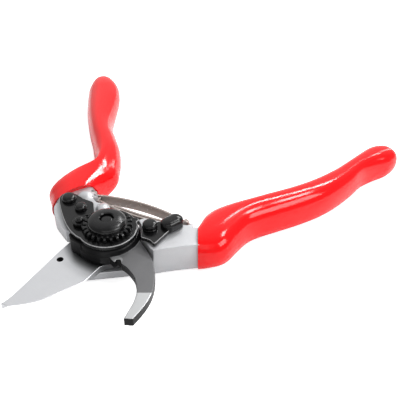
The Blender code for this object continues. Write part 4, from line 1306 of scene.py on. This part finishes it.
@dataclass
class CuttingBlade:
    """The bypass blade: flat above, hollow-ground below along its edge."""

    low: float = heights("cutting_blade")[0]
    high: float = heights("cutting_blade")[1]
    grind: float = 6.5               # width of the hollow grinding under the edge
    edge: float = 0.4                # thickness left at the edge
    crown: float = 0.16              # how far the upper face's rim is broken
    spine: tuple[Point, ...] = ((0.065, 171.6), (0.136, 186.9), (0.256, 199.8), (0.427, 210.1),
                                (0.596, 215.9), (0.772, 220.1), (0.906, 222.1), (1.0, 222.6))
    belly: tuple[Point, ...] = ((0.978, 225.3), (0.876, 229.0), (0.752, 233.4), (0.628, 237.3),
                                (0.504, 240.9), (0.39, 245.7), (0.278, 252.1))
    heel: tuple[Point, ...] = ((0.141, 255.7), (0.03, 261.2))

    def build(self, finish: bpy.types.Material) -> None:
        """Makes the blade and hands it over."""
        spine = curve_through([jaw_point(BLADE_REACH, *knot) for knot in self.spine], 8)
        belly = curve_through([jaw_point(BLADE_REACH, *knot) for knot in self.belly], 8)
        heel = [jaw_point(BLADE_REACH, *knot) for knot in self.heel]
        outline = [*spine, *belly, *heel, *arc(HUB_RADIUS - 0.5, 275, 515, 80)]
        tip = Vector(jaw_point(BLADE_REACH, 1.0, 222.6))
        root = Vector(jaw_point(BLADE_REACH, 0.1, 205.0))
        under = []
        for i, point in enumerate(outline):
            here = Vector(point)
            along = min(max((here - root).dot(tip - root) / (tip - root).length_squared, 0.0), 1.0)
            inward = root.lerp(tip, along) - here
            ground = len(spine) <= i < len(spine) + len(belly)
            width = min(self.grind, inward.length * 0.8) if ground else 0.0
            under.append(tuple(here + inward.normalized() * width))
        rings = [[(x, y, self.low) for x, y in under],
                 [(x, y, self.high - self.edge) for x, y in outline],
                 [(x, y, self.high - self.crown) for x, y in outline],
                 [(x, y, self.high) for x, y in shifted(outline, -self.crown)]]
        blade = to_object("bypass_blade", skin(rings), finish, sharp=28)
        holes = ((PIVOT, PIVOT_HOLE, 64), (polar(*BLADE_HOLE), BLADE_HOLE_RADIUS, 32),
                 (middle_of("blade_screw"), BLADE_SCREW_HOLE, 32))
        for centre, radius, sides in holes:
            drill(blade, centre, radius, self.low - OVER, self.high + OVER, sides)
        place_piece(blade, Body.BLADE, Slot.BLADE, "cutting_blade")


@dataclass
class CounterBlade:
    """The hooked counter blade with its round boss."""

    low: float = JAW_LOW
    high: float = 14.5               # upper face of the hook
    boss_top: float = HUB_TOP
    chamfer: float = 0.5
    seat: Point = (9.3, 1.1)         # radius and depth of the thrust washer's seat in the underside
    inner: tuple[Point, ...] = ((0.968, -77.4), (0.882, -74.8), (0.761, -70.6), (0.642, -67.0), (0.53, -64.6),
                                (0.409, -62.7), (0.301, -62.9), (0.204, -64.5), (0.135, -67.7))
    shoulder: tuple[Point, ...] = ((-16.2, -5.2), (-17.2, -2.0), (-16.6, -0.4), (-10.0, -0.4), (-11.0, -9.2))
    notch: tuple[Point, ...] = ((0.06, -66.5), (0.05, -72.0), (0.09, -76.0))

    def build(self, finish: bpy.types.Material) -> None:
        """Makes the counter blade and hands it over."""
        inner = curve_through([jaw_point(HOOK_REACH, *knot) for knot in self.inner], 4)
        notch = [jaw_point(HOOK_REACH, *knot) for knot in self.notch]
        outline = [*hook_back(5), *inner, *notch, *arc(HUB_RADIUS, -82, -348, 90)][::-1]
        wall = HUB_RADIUS - 2 * GAP
        boss = [(0, self.low + 1), (wall, self.low + 1), (wall, self.boss_top - self.chamfer),
                (wall - self.chamfer, self.boss_top), (0, self.boss_top)]
        shapes = [block(outline, self.low, self.high), lathe(boss, 96),
                  block(list(self.shoulder), self.low + 0.1, self.boss_top)]
        hook = forge("hooked_counter_blade", shapes, finish, 0.24, 2)
        drill(hook, PIVOT, PIVOT_HOLE, self.low - OVER, self.boss_top + OVER, 64)
        drill(hook, PIVOT, self.seat[0], self.low - OVER, self.low + self.seat[1], 64)
        place_piece(hook, Body.HOOK, Slot.BLACK, "counter_blade")


# ---------------------------------------------------------------- pivot


@dataclass
class HingePlate:
    """The enamelled plate on top of the hub, with its arm out to the rivets and the latch lug."""

    low: float = heights("hinge_plate")[0]
    high: float = heights("hinge_plate")[1]
    radius: float = 13.3
    bolt_hole: float = 4.3
    arm: tuple[Point, ...] = ((-13.4, -5.6), (-16.6, -1.6), (-19.8, 4.4), (-23.0, 13.2), (-24.9, 20.6),
                              (-24.1, 24.3), (-21.2, 26.0), (-17.6, 24.8), (-13.4, 21.2), (-8.8, 18.6),
                              (-7.7, 15.0))

    def build(self, finish: bpy.types.Material) -> None:
        """Makes the plate and hands it over."""
        reach = HUB_RADIUS + 0.2
        lug = [polar(self.radius, 18), polar(reach, 21), polar(reach, 28), polar(self.radius, 31)]
        arm = curve_through(self.arm, 7)[::-1]
        outline = [*arm, *arc(self.radius, 212, 372, 64), *lug, *arc(self.radius, 44, 122, 28)]
        cover = to_object("riveted_hinge_plate", plate(outline, self.low, self.high, 0.55, 0.2, 5), finish)
        holes = [(PIVOT, self.bolt_hole, 64), (middle_of("segment_screw"), SEGMENT_HOLE, 32)]
        holes += [(middle_of(rivet), radius_of(rivet) * SHANK_SHARE + GAP, 32) for rivet in RIVETS]
        for centre, radius, sides in holes:
            drill(cover, centre, radius, self.low - OVER, self.high + OVER, sides)
        place_piece(cover, Body.HOOK, Slot.BLACK, "hinge_plate")


@dataclass
class PivotStack:
    """The bolt, the toothed nut with its locking segment, and the rivets."""

    nut_low: float = heights("toothed_nut")[0]
    nut_high: float = 21.8           # top of the toothed flange
    nut_side: float = 1.55           # upright part of the flange's edge, below its chamfer
    nut_radius: float = 11.0
    tooth_depth: float = 1.7
    teeth: int = 24
    dome_top: float = heights("toothed_nut")[1]
    dome_radius: float = 8.6
    dome_steps: int = 14
    bolt_end: float = 2.7
    segment_top: float = heights("locking_segment")[1]
    segment_radius: float = 3.1

    def build(self, finishes: Finishes) -> None:
        """Makes all the pieces and hands them over."""
        self.bolt(finishes.black)
        self.nut(finishes.black)
        self.segment(finishes.black)
        self.heads(finishes.black)

    def bolt(self, finish: bpy.types.Material) -> None:
        """Makes the centre bolt, its end slightly domed below the nut's crown."""
        tip = self.dome_top - 0.9
        head, shank, shoulder = 9.5, 4.0, heights("hinge_plate")[1]
        profile = [(0, 0), *softened([(7.0, 0), (head, 0), (head, 2.6), (shank, 2.6)], 0.7, 4),
                   (shank, shoulder), (self.bolt_end, shoulder),
                   *softened([(self.bolt_end, 22.0), (self.bolt_end, tip - 0.15), (1.2, tip)], 0.6, 4),
                   (0, tip)]
        bolt = to_object("pivot_bolt", lathe(profile, 64), finish)
        place_piece(bolt, Body.HOOK, Slot.BLACK, "centre_bolt")

    def nut(self, finish: bpy.types.Material) -> None:
        """Makes the nut: a toothed flange and the dome above it."""
        form = NodeForm("toothed_disc", {
            "Teeth": self.teeth, "Tip radius": self.nut_radius * MM,
            "Root share": 1 - self.tooth_depth / self.nut_radius, "Low": self.nut_low * MM,
            "Side": self.nut_side * MM, "Chamfer": (self.nut_high - self.nut_low - self.nut_side) * MM,
            "Shrink": 0.962})
        seed = bpy.data.objects.new("seed", bpy.data.meshes.new("seed"))
        bpy.context.scene.collection.objects.link(seed)
        nut = form.run(seed, toothed_disc(form), finish)
        nut.name = "domed_toothed_nut"
        hole = self.bolt_end + GAP
        rim = hole + 0.6
        rise = self.dome_top - self.nut_high
        profile = [(0, self.nut_low + 0.5), (self.dome_radius, self.nut_low + 0.5),
                   (self.dome_radius, self.nut_high + 0.9)]
        for i in range(1, self.dome_steps + 1):
            along, up = polar(1.0, 90 * i / self.dome_steps)
            profile.append((rim + (self.dome_radius - rim) * along, self.nut_high + 1.0 + (rise - 1.0) * up))
        combine(nut, lathe([*profile, (0, self.dome_top)], 96), "UNION")
        bore = [(0, self.nut_low - OVER), (hole, self.nut_low - OVER), (hole, self.dome_top - 0.4),
                (hole + 0.5, self.dome_top + 0.1), (hole + 0.5, self.dome_top + OVER),
                (0, self.dome_top + OVER)]
        combine(nut, lathe(bore, 64), "DIFFERENCE")
        nut.data.materials.clear()
        nut.data.materials.append(finish)
        place_piece(nut, Body.HOOK, Slot.BLACK, "toothed_nut")

    def segment(self, finish: bpy.types.Material) -> None:
        """Makes the small toothed plate that holds the nut."""
        pitch = 360 / self.teeth
        inner = []
        root = self.nut_radius + GAP
        point = self.nut_radius - self.tooth_depth + 2 * GAP
        for tooth in range(9, 13):
            middle = pitch * (tooth + 0.5)
            for reach, turn in ((root, -0.30), (point, -0.10), (point, 0.10), (root, 0.30)):
                inner.append(polar(reach, middle + turn * pitch))
        screw = middle_of("segment_screw")
        outline = counter_clockwise([*inner[::-1], *arc(self.segment_radius, 70, 290, 32, screw)])
        segment = to_object("nut_locking_segment", plate(outline, self.nut_low, self.segment_top, 0.22, 0.1),
                            finish)
        drill(segment, screw, SEGMENT_HOLE, self.nut_low - OVER, self.nut_high + OVER)
        place_piece(segment, Body.HOOK, Slot.BLACK, "locking_segment")

    def heads(self, finish: bpy.types.Material) -> None:
        """Makes the two rivets and the segment's screw."""
        shapes = {"plate_rivet_outer": (SHANK_SHARE, self.nut_low),
                  "plate_rivet_inner": (SHANK_SHARE, self.nut_low), "segment_screw": (2 / 3, 21.7)}
        for name, (share, shoulder) in shapes.items():
            (low, top), head = heights(name), radius_of(name)
            shank = head * share
            crown = [polar(1.0, angle) for angle in (12, 30, 48, 66, 80)]
            swell = [(head * (0.35 + 0.65 * x), top - (top - shoulder) * 0.75 * (1 - y)) for x, y in crown]
            profile = [(0, low), (shank, low), (shank, shoulder), (head, shoulder), (head, swell[0][1] - 0.1),
                       *swell, (0, top)]
            screw = to_object(name + "_head", lathe(profile, 48, middle_of(name)), finish, sharp=50)
            place_piece(screw, Body.HOOK, Slot.BLACK, name)


# ---------------------------------------------------------------- catch


@dataclass
class ThumbCatch:
    """The thumb catch with its washer and screw."""

    centre: Point = middle_of("catch_screw")
    low: float = heights("catch_lever")[0]
    high: float = 19.5               # upper face of the lever, below its pad
    pad_start: Point = (8.0, 1.6)
    pad_heading: float = 37.7
    pad_length: float = 4.0
    pad_radius: float = 3.5
    pad_height: float = 3.4
    pad_inset: float = 3.1           # how far the pad's crown is drawn in
    pad_steps: int = 8
    screw_head: Point = (20.6, 21.5)  # underside of the screw's head, and where its side ends
    corners: tuple[Point, ...] = ((-3.5, 1.5), (-3.6, -3.0), (-3.5, -6.4), (-1.9, -6.8), (0.6, -8.2),
                                  (2.1, -10.4), (3.0, -10.0), (6.4, -5.0), (12.6, 4.0), (13.4, 6.4),
                                  (11.6, 7.8), (8.8, 6.8), (4.6, 4.6), (1.2, 3.9), (-2.0, 3.3))

    def outline(self) -> list[Point]:
        """Draws the lever's outline with short curves at its corners.

        Returns:
            The points, counter-clockwise.
        """
        x0, y0 = self.centre
        corners = [(x0 + x, y0 + y) for x, y in self.corners]
        loop = softened([corners[-1], *corners, corners[0]], 0.8, 4)
        return counter_clockwise(loop[1:-1])

    def build(self, finish: bpy.types.Material) -> None:
        """Makes the lever, the washer and the screw and hands them over."""
        self.lever(finish)
        ring = to_object("catch_flat_washer", lathe(self.washer_profile(), 48, self.centre), finish)
        place_piece(ring, Body.BLADE, Slot.BLACK, "catch_washer")
        screw = to_object("catch_pivot_screw", lathe(self.screw_profile(), 48, self.centre), finish, sharp=50)
        place_piece(screw, Body.BLADE, Slot.BLACK, "catch_screw")

    def lever(self, finish: bpy.types.Material) -> None:
        """Makes the lever with its thumb pad."""
        shape = plate(self.outline(), self.low, self.high, 0.4, 0.2, 4)
        lever = to_object("thumb_catch_lever", shape, finish)
        near = (self.centre[0] + self.pad_start[0], self.centre[1] + self.pad_start[1])
        far = polar(self.pad_length, self.pad_heading, near)
        stadium = arc(self.pad_radius, self.pad_heading - 90, self.pad_heading + 90, 28, far)
        stadium += arc(self.pad_radius, self.pad_heading + 90, self.pad_heading + 270, 28, near)
        rings = [[(x, y, self.low + 0.5) for x, y in stadium]]
        for i in range(self.pad_steps + 1):
            turn = math.radians(90 * i / self.pad_steps)
            inset = self.pad_inset * (1 - math.cos(turn))
            rise = 0.35 + 0.65 * math.sin(turn)
            rings.append([(x, y, self.high + self.pad_height * rise) for x, y in shifted(stadium, -inset)])
        combine(lever, skin(rings), "UNION")
        drill(lever, self.centre, CATCH_HOLE, self.low - OVER, self.high + OVER)
        place_piece(lever, Body.CATCH, Slot.BLACK, "catch_lever")

    def washer_profile(self) -> list[Point]:
        """Lists the washer's profile, with its upper rim broken."""
        (low, high), rim = heights("catch_washer"), radius_of("catch_washer")
        return [(rim, low), (rim, high - 0.1), (rim - 0.1, high), (CATCH_HOLE, high), (CATCH_HOLE, low)]

    def screw_profile(self) -> list[Point]:
        """Lists the screw's profile: a plain shank and a low round head."""
        (low, top), head, shank = heights("catch_screw"), radius_of("catch_screw"), CATCH_HOLE - GAP
        under, side = self.screw_head
        return [(0, low), (shank, low), (shank, under), (head, under), (head, side),
                (head - 0.08, side + 0.4), (head - 0.35, side + 0.8), (head - 0.8, side + 1.1),
                (head - 1.5, side + 1.25), (1.0, top), (0, top)]


# ---------------------------------------------------------------- leaf spring


@dataclass
class LeafSpring:
    """An outer leaf curled round a pin at each end, and two leaves nested under it."""

    first: Point = middle_of("hook_spring_pin")
    last: Point = middle_of("blade_spring_pin")
    pin_radius: float = radius_of("blade_spring_pin")
    thickness: float = 1.1
    height: float = 5.2
    edge: float = 0.14               # rounding of the strip's edges
    stand_off: float = 6.3           # how far the outer leaf's middle stands off the line between the pins
    inner_rise: float = -3.4         # the same for the nested leaves, on the other side of the line
    helper_rise: float = -1.7
    wrap: float = 285                # how far the outer leaf is curled round each pin, degrees

    def bow(self, first: Vector, last: Vector, rise: float, start: float, end: float,
            steps: int) -> list[Point]:
        """Draws a shallow bow between two points.

        Args:
            first: one end of the chord.
            last: the other end.
            rise: how far the middle stands off the chord.
            start: share of the way at which the bow starts.
            end: share of the way at which it ends.
            steps: how many steps it has.

        Returns:
            The points of the bow.
        """
        chord = last - first
        side = Vector((-chord.y, chord.x)).normalized()
        shares = [start + (end - start) * i / steps for i in range(steps + 1)]
        return [tuple(first + chord * s + side * rise * (1 - (2 * s - 1) ** 2)) for s in shares]

    def paths(self) -> dict[str, list[Point]]:
        """Draws the path of each leaf.

        Returns:
            The paths, by the names of their CAD nodes.
        """
        first, last = Vector(self.first), Vector(self.last)
        chord = last - first
        eye = self.pin_radius + GAP + self.thickness / 2
        rise = self.stand_off - eye
        across = math.degrees(math.atan2(chord.y, chord.x))
        slope = math.degrees(math.atan(4 * rise / chord.length))
        start, end = across + slope + 90, across - slope + 90
        curl = arc(eye, start + self.wrap, start, 40, self.first)
        uncurl = arc(eye, end, end - self.wrap, 40, self.last)
        leaf = self.bow(Vector(curl[-1]), Vector(uncurl[0]), rise, 0.0, 1.0, 60)
        clear = (eye + self.thickness + 2 * GAP) / chord.length
        return {"spring_outer_leaf": [*curl, *leaf[1:-1], *uncurl],
                "spring_inner_leaf": self.bow(first, last, self.inner_rise, clear, 1 - clear, 50),
                "spring_helper_leaf": self.bow(first, last, self.helper_rise, 3 * clear, 1 - 3 * clear, 36)}

    def build(self, finish: bpy.types.Material) -> None:
        """Makes the leaves and hands them over."""
        for name, path in self.paths().items():
            curve = bpy.data.curves.new(name + "_path", "CURVE")
            curve.dimensions = "3D"
            spline = curve.splines.new("POLY")
            spline.points.add(len(path) - 1)
            for point, (x, y) in zip(spline.points, path):
                point.co = (x * MM, y * MM, SPRING_MIDDLE * MM, 1.0)
            line = bpy.data.objects.new(name + "_strip", curve)
            bpy.context.scene.collection.objects.link(line)
            form = NodeForm("strip_along_path", {"Thickness": self.thickness * MM, "Height": self.height * MM,
                                                 "Edge": self.edge * MM})
            leaf = form.run(line, strip_along_path(form), finish)
            place_piece(leaf, Body.HOOK, Slot.SPRING, name)


# ---------------------------------------------------------------- studio


@dataclass(frozen=True)
class Softbox:
    """A rectangular lamp that faces a point."""

    name: str
    place: Place
    aim: Place
    size: Point
    power: float                     # watts

    def hang(self) -> None:
        """Hangs the lamp."""
        lamp = bpy.data.lights.new(self.name, "AREA")
        lamp.shape = "RECTANGLE"
        lamp.size = self.size[0] * MM
        lamp.size_y = self.size[1] * MM
        lamp.energy = self.power
        obj = bpy.data.objects.new(self.name, lamp)
        obj.location = Vector(self.place) * MM
        obj.rotation_euler = (Vector(self.aim) - Vector(self.place)).to_track_quat("-Z", "Y").to_euler()
        bpy.context.scene.collection.objects.link(obj)


@dataclass
class Studio:
    """Paper, lamps, surroundings and camera."""

    paper_half: float = 3000
    paper_levels: Point = (-4, -0.05)
    eye: Place = (40.9, -230.7, 213.1)
    pitch: float = 37.7
    lens: float = 61.2
    bright_side: Place = (-0.12, 0.74, 0.66)  # where the surroundings are brightest
    air: Point = (0.42, 0.95)        # their dimmest and brightest strength
    lamps: tuple[Softbox, ...] = (
        Softbox("key_softbox", (250, 392, 427), (50, 10, 10), (290, 46), 1.4),
        Softbox("side_softbox", (468, -190, 380), (70, 20, 10), (300, 240), 1.7),
        Softbox("overhead_strip", (338, 134, 519), (50, 0, 10), (160, 90), 1.0),
        Softbox("front_fill", (40, -560, 480), (20, 20, 0), (600, 420), 0.7),
        Softbox("tall_strip", (383, 448, 235), (0, 60, 10), (50, 300), 0.3))

    def build(self) -> None:
        """Makes the paper, the lamps, the surroundings and the camera."""
        bpy.context.scene.view_settings.view_transform = "Standard"
        corners = ((-1, -1), (1, -1), (1, 1), (-1, 1))
        sheet = block([(x * self.paper_half, y * self.paper_half) for x, y in corners], *self.paper_levels)
        to_object("studio_floor", sheet, StudioPaper().build())
        self.surroundings()
        for lamp in self.lamps:
            lamp.hang()
        self.camera()

    def surroundings(self) -> None:
        """Makes a plain white world, brighter high up behind the tool."""
        world = bpy.data.worlds.new("studio_air")
        world.use_nodes = True
        tree = world.node_tree
        direction = add(tree, "ShaderNodeTexCoord").outputs["Generated"]
        towards = add(tree, "ShaderNodeVectorMath", {0: direction, 1: self.bright_side},
                      operation="DOT_PRODUCT")
        glow = add(tree, "ShaderNodeMapRange", {"Value": towards.outputs["Value"], "From Min": 0.35,
                                                "From Max": 0.95, "To Min": self.air[0],
                                                "To Max": self.air[1]})
        feed(tree, tree.nodes["Background"], {"Strength": glow.outputs["Result"], "Color": linear("ffffff")})
        bpy.context.scene.world = world

    def camera(self) -> None:
        """Sets up the camera."""
        camera = bpy.data.cameras.new("camera")
        camera.lens = self.lens
        camera.sensor_width = 36
        camera.clip_start = 0.01
        view = bpy.data.objects.new("camera", camera)
        view.location = Vector(self.eye) * MM
        view.rotation_euler = (math.radians(90 - self.pitch), 0, 0)
        bpy.context.scene.collection.objects.link(view)
        bpy.context.scene.camera = view


def dress_hidden_nodes(finishes: Finishes) -> None:
    """Gives the CAD nodes that stay as they are their finish."""
    kept = {"pivot_bush": finishes.bronze, "thrust_washer": finishes.bronze, "blade_screw": finishes.black,
            "hook_spring_pin": finishes.spring, "blade_spring_pin": finishes.spring}
    for name, finish in kept.items():
        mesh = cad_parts[name].data
        mesh.materials.clear()
        mesh.materials.append(finish)
        LOG.info("%s: the frame's own, newly finished", name)


def main() -> None:
    """Builds every piece in order."""
    logging.basicConfig(level=logging.INFO, format="%(message)s")
    finishes = Finishes()
    DippedGrip("blade_handle_grip", Body.BLADE, BLADE_GRIP, squareness=2.35).build(finishes.red)
    DippedGrip("hook_handle_grip", Body.HOOK, HOOK_GRIP, squareness=2.15).build(finishes.red)
    BladeHandle().build(finishes.aluminium)
    HookHandle().build(finishes.aluminium)
    CuttingBlade().build(finishes.blade)
    CounterBlade().build(finishes.counter)
    HingePlate().build(finishes.black)
    PivotStack().build(finishes)
    ThumbCatch().build(finishes.black)
    LeafSpring().build(finishes.spring)
    dress_hidden_nodes(finishes)
    Studio().build()


if __name__ == "__main__":
    main()
